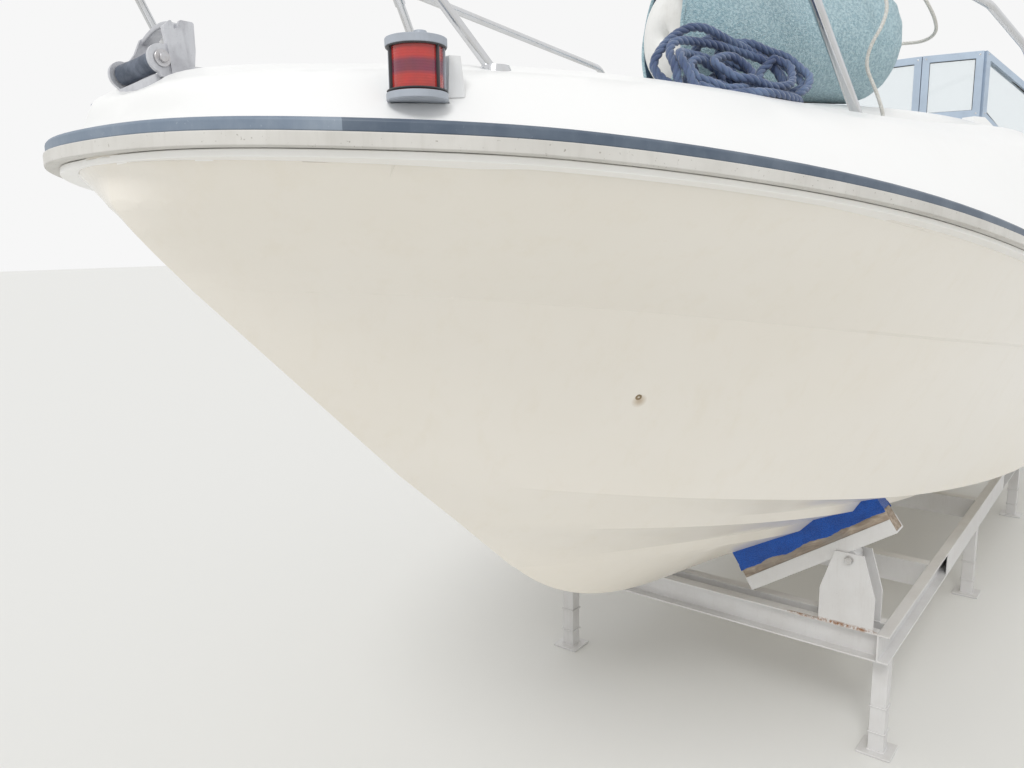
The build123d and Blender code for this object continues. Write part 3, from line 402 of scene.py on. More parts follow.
def fair_hull(shape):
    """Fills the stem out to a fair nose under the flange, and turns the flange's edge into a rounded bead."""
    shape.normal_update()
    outer = {vertex for face in shape.faces for vertex in face.verts if abs(face.normal.z) < 0.3
             and all(rail_foot_from < sheer_drop(corner.co) < bead_foot for corner in face.verts)}
    inner = {vertex for face in shape.faces if any(corner in outer for corner in face.verts)
             for vertex in face.verts if vertex not in outer and sheer_drop(vertex.co) > rail_foot_to}
    surface = bvhtree.BVHTree.FromBMesh(shape)
    widths = []
    slopes = []
    for step in range(11):
        z = 1.63 + 0.015 * step
        here, behind = (surface.ray_cast(Vector((x, 2, z)), Vector((0, -1, 0)))[0].y
                        for x in (nose_from, nose_from - 0.04))
        widths.append((z, here))
        slopes.append((z, (behind - here) / 0.04))
    widths.append((1.81, 2 * widths[-1][1] - widths[-3][1]))
    cuts = [((0, 0, 1.63 + 0.012 * step), (0, 0, 1)) for step in range(15)]
    cuts += [((x, 0, 0), (1, 0, 0)) for x in (2.95, 3.0, 3.05, 3.09, 3.13, 3.16, 3.19, 3.21, 3.23)]
    cuts += [((0, side * y, 0), (0, 1, 0)) for side in (-1, 1)
             for y in (0.008, 0.02, 0.035, 0.055, 0.08, 0.11, 0.15)]
    for place, normal in cuts:
        zone = [face for face in shape.faces if face.calc_center_median().x > 2.85
                and 1.60 < face.calc_center_median().z and not any(vertex in outer for vertex in face.verts)
                and not all(vertex in inner
                            for vertex in face.verts) and sheer_drop(face.calc_center_median()) > bead_foot]
        parts = list({edge for face in zone for edge in face.edges}) + list({v for face in zone
                                                                             for v in face.verts})
        bmesh.ops.bisect_plane(shape, geom=zone + parts, plane_co=place, plane_no=normal, dist=1e-5)
    inner = {vertex for face in shape.faces if any(corner in outer for corner in face.verts)
             for vertex in face.verts if vertex not in outer and sheer_drop(vertex.co) > rail_foot_to}
    bmesh.ops.triangulate(shape, faces=[face for face in shape.faces if len(face.verts) > 3])
    for vertex in shape.verts:
        place = vertex.co
        ahead = eased(place.x, bow_from, bow_to)
        drop = sheer_drop(place)
        if vertex in outer:
            place.z += foot_lift
        elif vertex in inner:
            place.z += cove_lift
            place.y += math.copysign(0.6 * cove_lift, place.y)
        elif groove_top < drop < rail_foot_to:
            place.z += 0.006 * ahead
        if vertex in outer or drop < groove_top:
            place.x -= rail_set_back * ahead
            place.z -= rail_set_down * ahead
        elif ahead:
            place.x += between(stem_moves, place.z) * ahead
            stem = 3.140 + 0.6416 * (place.z - 1.625) + between(stem_moves, place.z)
            if place.x > nose_from and place.z > 1.62:
                reach = stem - nose_from
                width = between(widths, place.z)
                power = between(slopes, place.z) * reach / width
                faired = eased(place.z - between(knuckle_heights, place.x), 0.004, 0.035)
                by_width = stem - reach * min(abs(place.y) / width, 1) ** (1 / power)
                place.x += (by_width - place.x) * faired * (1 - eased(abs(place.y), 0.06, 0.20))
                if abs(place.y) > 0.003:
                    wanted = width * max((stem - place.x) / reach, 0) ** power
                    place.y = math.copysign(abs(place.y) + (wanted - abs(place.y)) * faired, place.y)
    shape.normal_update()
    rims = [edge for edge in shape.edges if all(vertex in outer for vertex in edge.verts)
            and len(edge.link_faces) == 2 and edge.calc_face_angle(0) > 0.6]
    bmesh.ops.bevel(shape, geom=rims, offset=0.0046, offset_type="OFFSET", affect="EDGES", segments=3,
                    profile=0.5,
                    material=-1, clamp_overlap=True)


def on_bead(face):
    """Whether a hull face belongs to the bead under the rub rail."""
    return all(0.014 < sheer_drop(corner.co) < 0.0382 for corner in face.verts)


def step_knuckle(shape):
    """Turns the knuckle's edge into a small step, its upper lip standing proud."""
    def near(vertex):
        return abs(vertex.co.z - between(knuckle_heights, vertex.co.x)) < 0.0022 and vertex.co.x < step_to
    edges = [edge for edge in shape.edges if all(near(vertex) for vertex in edge.verts)]
    made = bmesh.ops.bevel(shape, geom=edges, offset=knuckle_half_width, offset_type="OFFSET", affect="EDGES",
                           segments=1, profile=0.5, material=-1, clamp_overlap=True)
    for vertex in made["verts"]:
        if vertex.co.z > between(knuckle_heights, vertex.co.x) + 0.001:
            fading = 1 - eased(vertex.co.x, step_to - 0.35, step_to)
            vertex.co.y += math.copysign(knuckle_step * fading, vertex.co.y)


def mottled(name):
    """Node group: slow colour drift, fine specks and streaks that run down a surface."""
    group = bpy.data.node_groups.new(name, "ShaderNodeTree")
    for label, kind, value in (("Clean", "NodeSocketColor", (0.8, 0.8, 0.8, 1)),
                               ("Stained", "NodeSocketColor", (0.5, 0.4, 0.3, 1)),
                               ("Drift", "NodeSocketFloat", 0.3), ("Streaks", "NodeSocketFloat", 0.3),
                               ("Specks", "NodeSocketFloat", 0.2), ("Scale", "NodeSocketFloat", 1.0)):
        group.interface.new_socket(label, in_out="INPUT", socket_type=kind).default_value = value
    group.interface.new_socket("Color", in_out="OUTPUT", socket_type="NodeSocketColor")
    group.interface.new_socket("Mask", in_out="OUTPUT", socket_type="NodeSocketFloat")
    given = group.nodes.new("NodeGroupInput").outputs
    place = add_node(group, "TexCoord").outputs["Object"]
    scaled = add_node(group, "VectorMath", {0: place, "Scale": given["Scale"]}, operation="SCALE").outputs[0]
    drift = add_node(group, "TexNoise", {"Vector": scaled, "Scale": 2.2, "Detail": 4.0, "Roughness": 0.6})
    drift_mask = add_node(group, "MapRange", {"Value": drift.outputs["Fac"], "From Min": 0.42,
                                              "From Max": 0.72})
    run_down = add_node(group, "VectorMath", {0: scaled, 1: (9.0, 9.0, 0.9)}, operation="MULTIPLY").outputs[0]
    streak = add_node(group, "TexNoise", {"Vector": run_down, "Scale": 3.0, "Detail": 5.0, "Roughness": 0.65})
    streak_mask = add_node(group, "MapRange", {"Value": streak.outputs["Fac"], "From Min": 0.52,
                                               "From Max": 0.78})
    speck = add_node(group, "TexNoise", {"Vector": scaled, "Scale": 60.0, "Detail": 2.0})
    speck_mask = add_node(group, "MapRange", {"Value": speck.outputs["Fac"], "From Min": 0.68,
                                              "From Max": 0.74})
    total = None
    for mask, share in ((drift_mask, "Drift"), (streak_mask, "Streaks"), (speck_mask, "Specks")):
        part = add_node(group, "Math", {0: mask.outputs[0], 1: given[share]}, operation="MULTIPLY").outputs[0]
        if total is None:
            total = part
        else:
            total = add_node(group, "Math", {0: total, 1: part}, operation="ADD").outputs[0]
    held = add_node(group, "Clamp", {"Value": total}).outputs[0]
    mixed = add_node(group, "Mix", {0: held, 6: given["Clean"], 7: given["Stained"]}, data_type="RGBA")
    out = group.nodes.new("NodeGroupOutput")
    group.links.new(mixed.outputs[2], out.inputs["Color"])
    group.links.new(held, out.inputs["Mask"])
    return group


def use_group(tree, group, **values):
    """A node group placed in a material, with its inputs set by name."""
    made = tree.nodes.new("ShaderNodeGroup")
    made.node_tree = group
    for name, value in values.items():
        if isinstance(value, bpy.types.NodeSocket):
            tree.links.new(value, made.inputs[name])
        else:
            made.inputs[name].default_value = value
    return made


stains = mottled("stains")


def stained_finish(name, clean, stained, roughness, drift=0.3, streaks=0.2, specks=0.1, scale=1.0,
                   bump=0.0, bump_scale=200.0, rough_more=0.15, **more):
    """Painted, moulded or cast surface: its stains, a roughness that follows them, and a fine bump."""
    made, tree, shader = new_finish(name, clean, roughness, **more)
    dirt = use_group(tree, stains, Clean=(*clean, 1), Stained=(*stained, 1), Drift=drift, Streaks=streaks,
                     Specks=specks, Scale=scale)
    tree.links.new(dirt.outputs["Color"], shader.inputs["Base Color"])
    rough = add_node(tree, "MapRange", {"Value": dirt.outputs["Mask"], "To Min": roughness,
                                        "To Max": roughness + rough_more})
    tree.links.new(rough.outputs[0], shader.inputs["Roughness"])
    if bump:
        place = add_node(tree, "TexCoord")
        grain = add_node(tree, "TexNoise", {"Vector": place.outputs["Object"], "Scale": bump_scale,
                                            "Detail": 3.0})
        lift = add_node(tree, "Bump", {"Height": grain.outputs["Fac"], "Strength": bump, "Distance": 0.0006})
        tree.links.new(lift.outputs[0], shader.inputs["Normal"])
    return made


def band_mask(tree, value, low, high, soft):
    """Mask that is 1 where a value lies between two limits, with soft ends."""
    rise = add_node(tree, "MapRange", {"Value": value, "From Min": low - soft, "From Max": low + soft})
    fall = add_node(tree, "MapRange", {"Value": value, "From Min": high - soft, "From Max": high + soft,
                                       "To Min": 1.0, "To Max": 0.0})
    return add_node(tree, "Math", {0: rise.outputs[0], 1: fall.outputs[0]}, operation="MULTIPLY").outputs[0]


def near_mask(tree, place, centre, radius):
    """Mask that falls off round one point."""
    reach = add_node(tree, "VectorMath", {0: place, 1: centre}, operation="DISTANCE").outputs["Value"]
    return add_node(tree, "MapRange", {"Value": reach, "From Min": radius,
                                       "From Max": radius * 0.2}).outputs[0]


def dressed(name, finish, crease=30, soften=0.0, segments=2, reshape=(), more_finish=(), pick=None):
    """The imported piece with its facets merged, smooth between its edges, and its edges softened."""
    mesh = frame["nodes"][name].data.copy()
    shape = bmesh.new()
    shape.from_mesh(mesh)
    bmesh.ops.remove_doubles(shape, verts=shape.verts, dist=1e-5)
    for change in reshape:
        change(shape)
    if soften:
        bmesh.ops.dissolve_limit(shape, angle_limit=math.radians(0.6), verts=shape.verts, edges=shape.edges)
    shape.normal_update()
    for edge in shape.edges:
        limit = crease if not callable(crease) else crease(edge)
        edge.smooth = edge.calc_face_angle(math.pi) < math.radians(limit)
    for face in shape.faces:
        face.smooth = True
        face.material_index = pick(face) if pick else 0
    body = next(body for body, members in frame["record"]["behaviour"]["bodies"].items() if name in members)
    made = new_piece(name + "_shown", shape, [finish, *more_finish], body)
    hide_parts(name)
    if not soften:
        made.modifiers.new("fair_shading", "WEIGHTED_NORMAL").keep_sharp = True
    else:
        rounding = made.modifiers.new("softened", "BEVEL")
        rounding.width = soften
        rounding.segments = segments
        rounding.limit_method = "ANGLE"
        rounding.angle_limit = math.radians(crease)
        rounding.harden_normals = True
    return made


hull_finish, tree, shader = new_finish("hull_gelcoat", gelcoat_cream, 0.24, Coat_Weight=0.25,
                                       Coat_Roughness=0.08)
place = add_node(tree, "TexCoord").outputs["Object"]
split = add_node(tree, "SeparateXYZ", {"Vector": place})
# Below the chines the cream is mixed towards that darker, warmer colour: painted shade and ground reflection.
depth = add_node(tree, "MapRange", {"Value": split.outputs["Z"], "From Min": chine_shade_top,
                                    "From Max": chine_shade_foot})
low_shade_and_bounce = add_node(tree, "Mix", {0: depth.outputs[0], 6: (*gelcoat_cream, 1), 7: (*gelcoat_low_shaded, 1)},
                     data_type="RGBA")
dirt = use_group(tree, stains, Clean=low_shade_and_bounce.outputs[2], Stained=(*gelcoat_stain, 1), Drift=0.16,
                 Streaks=0.16,
                 Specks=0.05, Scale=0.7)
weep = near_mask(tree, place, (2.362, 0.382, 1.356), 0.020)
soiled = add_node(tree, "Mix", {0: weep, 6: dirt.outputs["Color"], 7: (0.48, 0.36, 0.23, 1)},
                  data_type="RGBA")
fairness = add_node(tree, "TexNoise", {"Vector": place, "Scale": 1.6, "Detail": 1.0})
lift = add_node(tree, "Bump", {"Height": fairness.outputs["Fac"], "Strength": 0.10, "Distance": 0.02})
tree.links.new(soiled.outputs[2], shader.inputs["Base Color"])
tree.links.new(lift.outputs[0], shader.inputs["Normal"])
# Bead faces: the hull's gelcoat painted lighter, a painted highlight.
bead_sky_lit_finish = stained_finish("bead_gelcoat_sky_lit", bead_sky_lit_white, (0.80, 0.76, 0.66), 0.28, drift=0.2, streaks=0.1,
                             scale=1.5)


def hull_crease(edge):
    """Sharp chines and strakes everywhere, but one smooth skin on the faired nose."""
    place = edge.verts[0].co
    return 26 if place.x > 2.9 and place.z > 1.635 else 9


hull = dressed("hull", hull_finish, crease=hull_crease, reshape=(fair_hull, step_knuckle),
               more_finish=(bead_sky_lit_finish,), pick=lambda face: 1 if on_bead(face) else 0)


def placed(position, along, side=(0, 0, 1)):
    """Matrix with its origin at a position and its Z along a direction."""
    z = Vector(along).normalized()
    x = Vector(side).cross(z)
    if x.length < 1e-3:
        x = Vector((1, 0, 0)).cross(z)
    x.normalize()
    return Matrix.Translation(position) @ Matrix((x, z.cross(x), z)).transposed().to_4x4()


def add_turned(shape, place, profile, segments=28):
    """Turned piece: a profile of (radius, height) spun once about the place's Z."""
    corners = [shape.verts.new(place @ Vector((radius, 0, height))) for radius, height in profile]
    runs = [shape.edges.new(pair) for pair in zip(corners, corners[1:])]
    axis = place.to_3x3() @ Vector((0, 0, 1))
    bmesh.ops.spin(shape, geom=corners + runs, cent=place.translation, axis=axis, angle=2 * math.pi,
                   steps=segments, use_merge=True)


def add_block(shape, place, size, edge=0.0, segments=2):
    """Block centred on a place, with its edges rounded."""
    made = bmesh.ops.create_cube(shape, size=1, matrix=place @ Matrix.Diagonal((*size, 1)))
    if edge:
        edges = list({edge for vertex in made["verts"] for edge in vertex.link_edges})
        bmesh.ops.bevel(shape, geom=edges, offset=edge, offset_type="OFFSET", affect="EDGES",
                        segments=segments,
                        profile=0.5, material=-1)


def closed_shape(shape, crease=35):
    """Merges poles, turns the faces outward and smooths between the edges."""
    bmesh.ops.remove_doubles(shape, verts=shape.verts, dist=1e-6)
    bmesh.ops.recalc_face_normals(shape, faces=shape.faces)
    shape.normal_update()
    for edge in shape.edges:
        edge.smooth = edge.calc_face_angle(math.pi) < math.radians(crease)
    for face in shape.faces:
        face.smooth = True
    return shape


def add_screw(shape, place, radius):
    """Raised screw head with a crossed drive."""
    add_turned(shape, place, [(0, 0.42 * radius), (0.16 * radius, 0.42 * radius),
                              (0.20 * radius, 0.62 * radius),
                              (0.6 * radius, 0.48 * radius), (radius, 0.12 * radius),
                              (radius, -0.3 * radius)], 14)


def add_bolt(shape, place, radius, height, washer=0.0):
    """Hexagon bolt head with a chamfered crown, on its washer."""
    if washer:
        add_turned(shape, place, [(0, 0), (washer, 0), (washer, 0.0016), (washer - 0.0006, 0.0022),
                                  (0, 0.0022)], 24)
    base = place @ Matrix.Translation((0, 0, height / 2 + (0.0022 if washer else 0)))
    made = bmesh.ops.create_cone(shape, cap_ends=True, segments=6, radius1=radius, radius2=radius,
                                 depth=height,
                                 matrix=base)
    rims = list({edge for vertex in made["verts"] for edge in vertex.link_edges})
    bmesh.ops.bevel(shape, geom=rims, offset=radius * 0.09, offset_type="OFFSET", affect="EDGES", segments=1,
                    profile=0.5, material=-1)


# Drain hole: a small brass-lined hole low in the topside, with a brown weep under it.
drain_place = Vector((2.3644, 0.3782, 1.3688))
drain_out = Vector((0.4923, 0.7221, -0.4860))
brass_finish = stained_finish("drain_brass", (0.38, 0.29, 0.17), (0.16, 0.12, 0.08), 0.4, drift=0.6,
                              scale=9.0,
                              Metallic=0.7)
shape = bmesh.new()
add_turned(shape, placed(drain_place, drain_out), [(0.0030, -0.004), (0.0030, 0.0006), (0.0042, 0.0013),
                                                   (0.0068, 0.0010), (0.0074, 0), (0.0074, -0.004)], 20)
new_piece("drain_hole", closed_shape(shape), brass_finish, "boat")

# Deck: one white gelcoat moulding whose rounded sides rise from the rub rail to a crest. Its walked-on faces
# have a moulded non-skid grain.
deck_white = (0.885, 0.888, 0.882)
tread_scale = 260.0
deck_finish = stained_finish("deck_gelcoat", deck_white, (0.80, 0.79, 0.75), 0.34, drift=0.15, streaks=0.05,
                             specks=0.0, scale=0.8, rough_more=0.02)
deck_tread, tree, shader = new_finish("deck_tread", deck_white, 0.55)
place = add_node(tree, "TexCoord").outputs["Object"]
dirt = use_group(tree, stains, Clean=(0.86, 0.865, 0.86, 1), Stained=(0.66, 0.64, 0.58, 1), Drift=0.45,
                 Streaks=0.0,
                 Specks=0.25, Scale=1.6)
grain = add_node(tree, "TexVoronoi", {"Vector": place, "Scale": tread_scale}, feature="F1")
lift = add_node(tree, "Bump", {"Height": grain.outputs["Distance"], "Strength": 0.55, "Distance": 0.0012})
tree.links.new(dirt.outputs["Color"], shader.inputs["Base Color"])
tree.links.new(lift.outputs[0], shader.inputs["Normal"])


def walked_on(face):
    """Whether a deck face is level enough, and inboard enough, to have the non-skid grain."""
    middle = face.calc_center_median()
    inside = middle.x < 0.02 and abs(middle.y) < 0.69 or middle.z > 2.0 and middle.x > 0.2
    return 1 if face.normal.z > 0.985 and inside else 0


dressed("deck", deck_finish, crease=32, reshape=(fair_bow,), more_finish=(deck_tread,),
        pick=walked_on)

# Rub rail: pale vinyl extrusion screwed over the joint of hull and deck, with a dark rubber insert pressed into
# it. The insert is two lengths, butted on the port bow, the after one newer and darker.
insert_joint_x = 3.150
rail_finish = stained_finish("rail_vinyl", (0.66, 0.645, 0.61), (0.36, 0.34, 0.30), 0.46, drift=0.35,
                             streaks=0.15,
                             specks=0.8, scale=3.0, bump=0.2)
insert_old = stained_finish("insert_rubber_faded", (0.180, 0.230, 0.300), (0.36, 0.41, 0.47), 0.5, drift=0.5,
                            streaks=0.15, specks=0.4, scale=4.0, bump=0.3)
insert_new = stained_finish("insert_rubber", (0.075, 0.105, 0.150), (0.20, 0.24, 0.29), 0.42, drift=0.5,
                            streaks=0.1,
                            specks=0.3, scale=4.0, bump=0.25)


def cut_insert(shape):
    """A cut across the insert where its two lengths meet."""
    bmesh.ops.bisect_plane(shape, geom=shape.verts[:] + shape.edges[:] + shape.faces[:],
                           plane_co=(insert_joint_x, 0, 0), plane_no=(1, 0, 0))


dressed("rub_rail", rail_finish, crease=40, soften=0.0022, reshape=(fair_bow,))
dressed("rub_rail_insert", insert_new, crease=40, soften=0.0016,
        reshape=(fair_bow, cut_insert),
        more_finish=(insert_old,), pick=lambda face: 1 if face.calc_center_median().x > insert_joint_x else 0)

# Anchor locker: gasketed rim and a flat lid on two barrel hinges, with a flush ring catch at its fore edge.
steel_finish = stained_finish("stainless", (0.66, 0.67, 0.69), (0.50, 0.46, 0.40), 0.16, drift=0.25,
                              specks=0.2,
                              scale=5.0, Metallic=1.0)
lid_top = Vector((2.905, 0, 1.9765))
dressed("locker_rim", deck_finish, soften=0.002)
dressed("locker_lid", deck_tread, soften=0.002)
shape = bmesh.new()
add_turned(shape, placed(lid_top, (0, 0, 1)), [(0, 0.0004), (0.012, 0.0006), (0.013, 0.0022), (0.021, 0.0024),
                                               (0.023, 0.0012), (0.023, -0.001)], 32)
for turn in range(2):
    add_screw(shape, placed(lid_top + Vector((0, 0.0175 * (2 * turn - 1), 0.0022)), (0, 0, 1)), 0.0026)
new_piece("lid_catch", closed_shape(shape), steel_finish, "lid")
# Bow roller: rough silver casting on the crown, two cheeks joined by a hoop, with a hard rubber roller on a pin.
# A hexagon bolt and washer hold the pin, and two screws each side hold the foot.
silver_cast = stained_finish("cast_silver", (0.62, 0.63, 0.66), (0.36, 0.36, 0.39), 0.40, drift=0.7,
                             specks=0.6,
                             scale=9.0, bump=0.9, bump_scale=260.0, Metallic=0.5)
roller_finish = stained_finish("roller_rubber", (0.055, 0.072, 0.105), (0.20, 0.23, 0.29), 0.5, drift=0.8,
                               specks=0.5,
                               scale=14.0, bump=0.6, bump_scale=300.0)
roller_centre = Vector((3.195, 0, 1.959))
roller_axis = Vector((0, 0.9961947, 0.0871557))
cheek_outer = 0.060
dressed("bow_roller_bracket", silver_cast, soften=0.0022, segments=3)
shape = bmesh.new()
half = 0.0515
add_turned(shape, placed(roller_centre, roller_axis),
           [(0.0052, -half), (0.0140, -half), (0.0152, -half + 0.0015), (0.0148, -0.030), (0.0142, 0),
            (0.0148, 0.030), (0.0152, half - 0.0015), (0.0140, half), (0.0052, half)], 40)
roller = new_piece("bow_roller_shown", closed_shape(shape), roller_finish, "roller")
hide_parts("bow_roller")
shape = bmesh.new()
for side in (-1, 1):
    face = placed(roller_centre + roller_axis * (cheek_outer + 0.001) * side, roller_axis * side)
    add_bolt(shape, face, 0.0075, 0.0050, washer=0.0125)
bolt_steel = stained_finish("bolt_steel", (0.60, 0.60, 0.62), (0.34, 0.29, 0.24), 0.34, drift=0.5, specks=0.5,
                            scale=20.0, bump=0.3, Metallic=0.8)
new_piece("roller_bolts", closed_shape(shape), bolt_steel, "boat")

# Navigation lights: grey moulded base and cap with a ribbed lens between, on a moulded plinth. The port lens is
# red, the starboard one green, each with a darker band inside and clear seams at its ends.
grey_plastic = stained_finish("grey_plastic", (0.42, 0.46, 0.52), (0.26, 0.28, 0.31), 0.38, drift=0.5,
                              specks=0.3,
                              scale=6.0, bump=0.25)
white_plastic = stained_finish("white_plastic", (0.80, 0.81, 0.82), (0.60, 0.58, 0.54), 0.35, drift=0.4,
                               scale=4.0)
black_plastic = stained_finish("black_plastic", (0.035, 0.036, 0.04), (0.10, 0.10, 0.10), 0.45, drift=0.4,
                               specks=0.3,
                               scale=5.0, bump=0.3)
light_place = Vector((3.030, 0.408, 1.886))
lens_bottom = 1.896
lens_top = 1.955


def banded_lens(name, bright, dark):
    """Coloured lens: bright top and foot, a dark lamp band behind its middle, and fine moulded ribs."""
    made, tree, shader = new_finish(name, bright, 0.10, Coat_Weight=0.5, Coat_Roughness=0.04)
    place = add_node(tree, "TexCoord").outputs["Object"]
    z = add_node(tree, "SeparateXYZ", {"Vector": place}).outputs["Z"]
    band = band_mask(tree, z, 1.918, 1.936, 0.003)
    rim = band_mask(tree, z, lens_bottom + 0.004, lens_top - 0.004, 0.0025)
    mottle = add_node(tree, "TexNoise", {"Vector": place, "Scale": 60.0, "Detail": 2.0})
    lamp = add_node(tree, "Mix", {0: band, 6: (*bright, 1), 7: (*dark, 1)}, data_type="RGBA")
    seams = add_node(tree, "Mix", {0: rim, 6: tuple(0.65 * level for level in bright) + (1,),
                                   7: lamp.outputs[2]},
                     data_type="RGBA")
    worn = add_node(tree, "Mix", {0: 0.25, 6: seams.outputs[2], 7: mottle.outputs["Color"]}, data_type="RGBA",
                    blend_type="OVERLAY")
    ribs = add_node(tree, "TexWave", {"Vector": place, "Scale": 90.0, "Distortion": 0.0}, bands_direction="Z")
    lift = add_node(tree, "Bump", {"Height": ribs.outputs["Fac"], "Strength": 0.25, "Distance": 0.0008})
    tree.links.new(worn.outputs[2], shader.inputs["Base Color"])
    tree.links.new(lift.outputs[0], shader.inputs["Normal"])
    return made


red_lens = banded_lens("red_lens", (0.46, 0.035, 0.030), (0.20, 0.030, 0.060))
green_lens = banded_lens("green_lens", (0.02, 0.30, 0.12), (0.01, 0.08, 0.07))
dressed("nav_light_plinths", white_plastic, soften=0.003)
dressed("nav_light_housings", grey_plastic, soften=0.0014, crease=28)
dressed("nav_light_port_lens", red_lens, crease=40)
dressed("nav_light_starboard_lens", green_lens, crease=40)
shape = bmesh.new()
for side in (-1, 1):
    middle = Vector((light_place.x, side * light_place.y, 0))
    for height, radius, tall in ((1.8975, 0.0405, 0.0022), (1.9535, 0.0405, 0.0022)):
        add_turned(shape, placed(middle + Vector((0, 0, height)), (0, 0, 1)),
                   [(0.034, 0), (radius, 0), (radius + 0.0008, tall / 2), (radius, tall), (0.034, tall)], 48)
    for turn in (-22, 92, 170):
        out = Matrix.Rotation(math.radians(side * turn), 3, "Z") @ Vector((1, 0, 0))
        add_block(shape, placed(middle + out * 0.0375 + Vector((0, 0, 1.9255)), (0, 0, 1), out),
                  (0.003, 0.005, 0.058),
                  0.0008)
    add_screw(shape, placed(middle + Vector((0.018, 0, 1.966)), (0, 0, 1)), 0.0036)
    add_screw(shape, placed(middle + Vector((-0.024, side * 0.02, 1.966)), (0, 0, 1)), 0.0036)
new_piece("nav_light_trims", closed_shape(shape), black_plastic, "boat")

# Bow rail: polished stainless tube on raked stanchions. Each joint has a sleeve and a grub screw, and each foot a
# round flange with three screws.
rail_pairs = [
    # foot, head, sleeve radius, flange radius
    (Vector((1.780, 0.635, 1.940)), Vector((2.140, 0.536, 2.392)), 0.0155, 0.030),
    (Vector((2.830, 0.405, 1.925)), Vector((3.214, 0.225, 2.400)), 0.0110, 0.024),
]
dressed("bow_rail", steel_finish, crease=40)
dressed("rail_stanchions", steel_finish, crease=40)
shape = bmesh.new()
for side in (-1, 1):
    for foot, head, sleeve, flange in rail_pairs:
        foot = Vector((foot.x, foot.y * side, foot.z))
        head = Vector((head.x, head.y * side, head.z))
        rake = (head - foot).normalized()
        near_head = head - rake * 0.050
        add_turned(shape, placed(near_head, rake), [(sleeve - 0.003, 0), (sleeve, 0.0015), (sleeve, 0.030),
                                                    (sleeve - 0.003, 0.0315)])
        ground = deck_surface.ray_cast(Vector((foot.x + rake.x * 0.03, foot.y + rake.y * 0.03, 2.3)),
                                       Vector((0, 0, -1)))
        base = placed(ground[0] - ground[1] * 0.001, ground[1])
        add_turned(shape, base, [(0, 0.005), (flange * 0.55, 0.0052), (flange - 0.002, 0.0036),
                                 (flange, 0.002),
                                 (flange, -0.003)], 36)
        for turn in range(3):
            spot = base @ Matrix.Rotation(math.radians(120 * turn + 30), 4,
                                          "Z") @ Matrix.Translation((flange * 0.78, 0, 0.004))
            add_screw(shape, spot, 0.0034)
new_piece("rail_fittings", closed_shape(shape), steel_finish, "boat")

# Windscreen: panes in a pale painted aluminium frame with a black gasket, corner screws at every joint.
frame_finish = stained_finish("screen_frame_paint", (0.46, 0.55, 0.66), (0.34, 0.40, 0.48), 0.38, drift=0.5,
                              specks=0.2,
                              scale=4.0, Metallic=0.25)
screen_glass = new_finish("screen_glass", (0.88, 0.93, 0.95), 0.03, Transmission_Weight=0.92, IOR=1.45)[0]
screen_posts = [(-0.330, 0.790, 1.878, 2.200), (0.150, 0.600, 2.139, 2.380), (0.195, 0.395, 2.139, 2.380),
                (0.195, -0.395, 2.139, 2.380), (0.150, -0.600, 2.139, 2.380), (-0.330, -0.790, 1.878, 2.200)]
frame_half_depth = 0.013
dressed("windscreen_frame", frame_finish, soften=0.003)
dressed("windscreen_panes", screen_glass)
shape = bmesh.new()
gasket = bmesh.new()
for (x0, y0, low0, top0), (x1, y1, low1, top1) in zip(screen_posts, screen_posts[1:]):
    run = Vector((x1 - x0, y1 - y0, 0))
    along = run.normalized()
    out = along.cross(Vector((0, 0, 1)))
    out = out if out.x > 0 else -out
    corners = [(0.013, low0, 1), (run.length - 0.013, low1, 1), (run.length - 0.013, top1, -1),
               (0.013, top0, -1)]
    for reach, height, inward in corners:
        spot = Vector((x0, y0, height + inward * 0.013)) + along * reach + out * frame_half_depth
        add_screw(shape, placed(spot, out), 0.0035)
    inner = [Vector((x0, y0,
                     height + inward * 0.026)) + along * (0.026 if reach < 0.02 else run.length - 0.026)
             for reach, height, inward in corners]
    for start, end in zip(inner, inner[1:] + inner[:1]):
        middle = (start + end) / 2
        add_block(gasket, placed(middle, end - start, out), (0.004, 0.009, (end - start).length + 0.002),
                  0.0008)
new_piece("screen_screws", closed_shape(shape), steel_finish, "boat")
new_piece("screen_gaskets", closed_shape(gasket), black_plastic, "boat")

# Helm: moulded console with three gauges and a switch panel on its sloping top, a padded-rim wheel and a
# side-mounted throttle.
gauge_white = (0.80, 0.80, 0.78)
dressed("helm_console", deck_finish, soften=0.012, segments=3)
dressed("helm_wheel", black_plastic, soften=0.0016)
dressed("helm_shaft", black_plastic, soften=0.001)
dressed("throttle", black_plastic, soften=0.003, segments=3)
dial_finish = new_finish("dial_white", gauge_white, 0.4)[0]
panel_out = Vector((-0.664, 0, 0.747))
panel_up = Vector((0.747, 0, 0.664))
panel_middle = Vector((-0.180, -0.400, 1.7200))
bezels = bmesh.new()
marks = bmesh.new()
for number in range(3):
    centre = panel_middle + Vector((0, 0.125 * (number - 1), 0)) + panel_up * 0.035
    radius = 0.048 if number == 1 else 0.036
    place = placed(centre, panel_out, panel_up)
    add_turned(bezels, place, [(0, 0.003), (radius - 0.006, 0.003), (radius - 0.004, 0.010), (radius, 0.009),
                               (radius + 0.003, 0.002), (radius + 0.003, -0.004)], 40)
    for tick in range(13):
        turn = Matrix.Rotation(math.radians(-130 + 260 * tick / 12), 4, "Z")
        long = 0.009 if tick % 3 == 0 else 0.005
        add_block(marks, place @ turn @ Matrix.Translation((radius - 0.008 - long / 2, 0, 0.0036)),
                  (long, 0.0012, 0.0008))
    needle = Matrix.Rotation(math.radians(-118), 4, "Z")
    add_block(marks, place @ needle @ Matrix.Translation((radius * 0.3, 0, 0.0046)),
              (radius * 0.75, 0.0018, 0.0010))
for number in range(5):
    centre = panel_middle + Vector((0, 0.042 * (number - 2), 0)) - panel_up * 0.055
    place = placed(centre, panel_out, panel_up)
    add_block(bezels, place, (0.026, 0.034, 0.006), 0.0015)
    add_block(bezels, place @ Matrix.Translation((0, 0, 0.005)) @ Matrix.Rotation(math.radians(9), 4, "X"),
              (0.015, 0.024, 0.008), 0.0015)
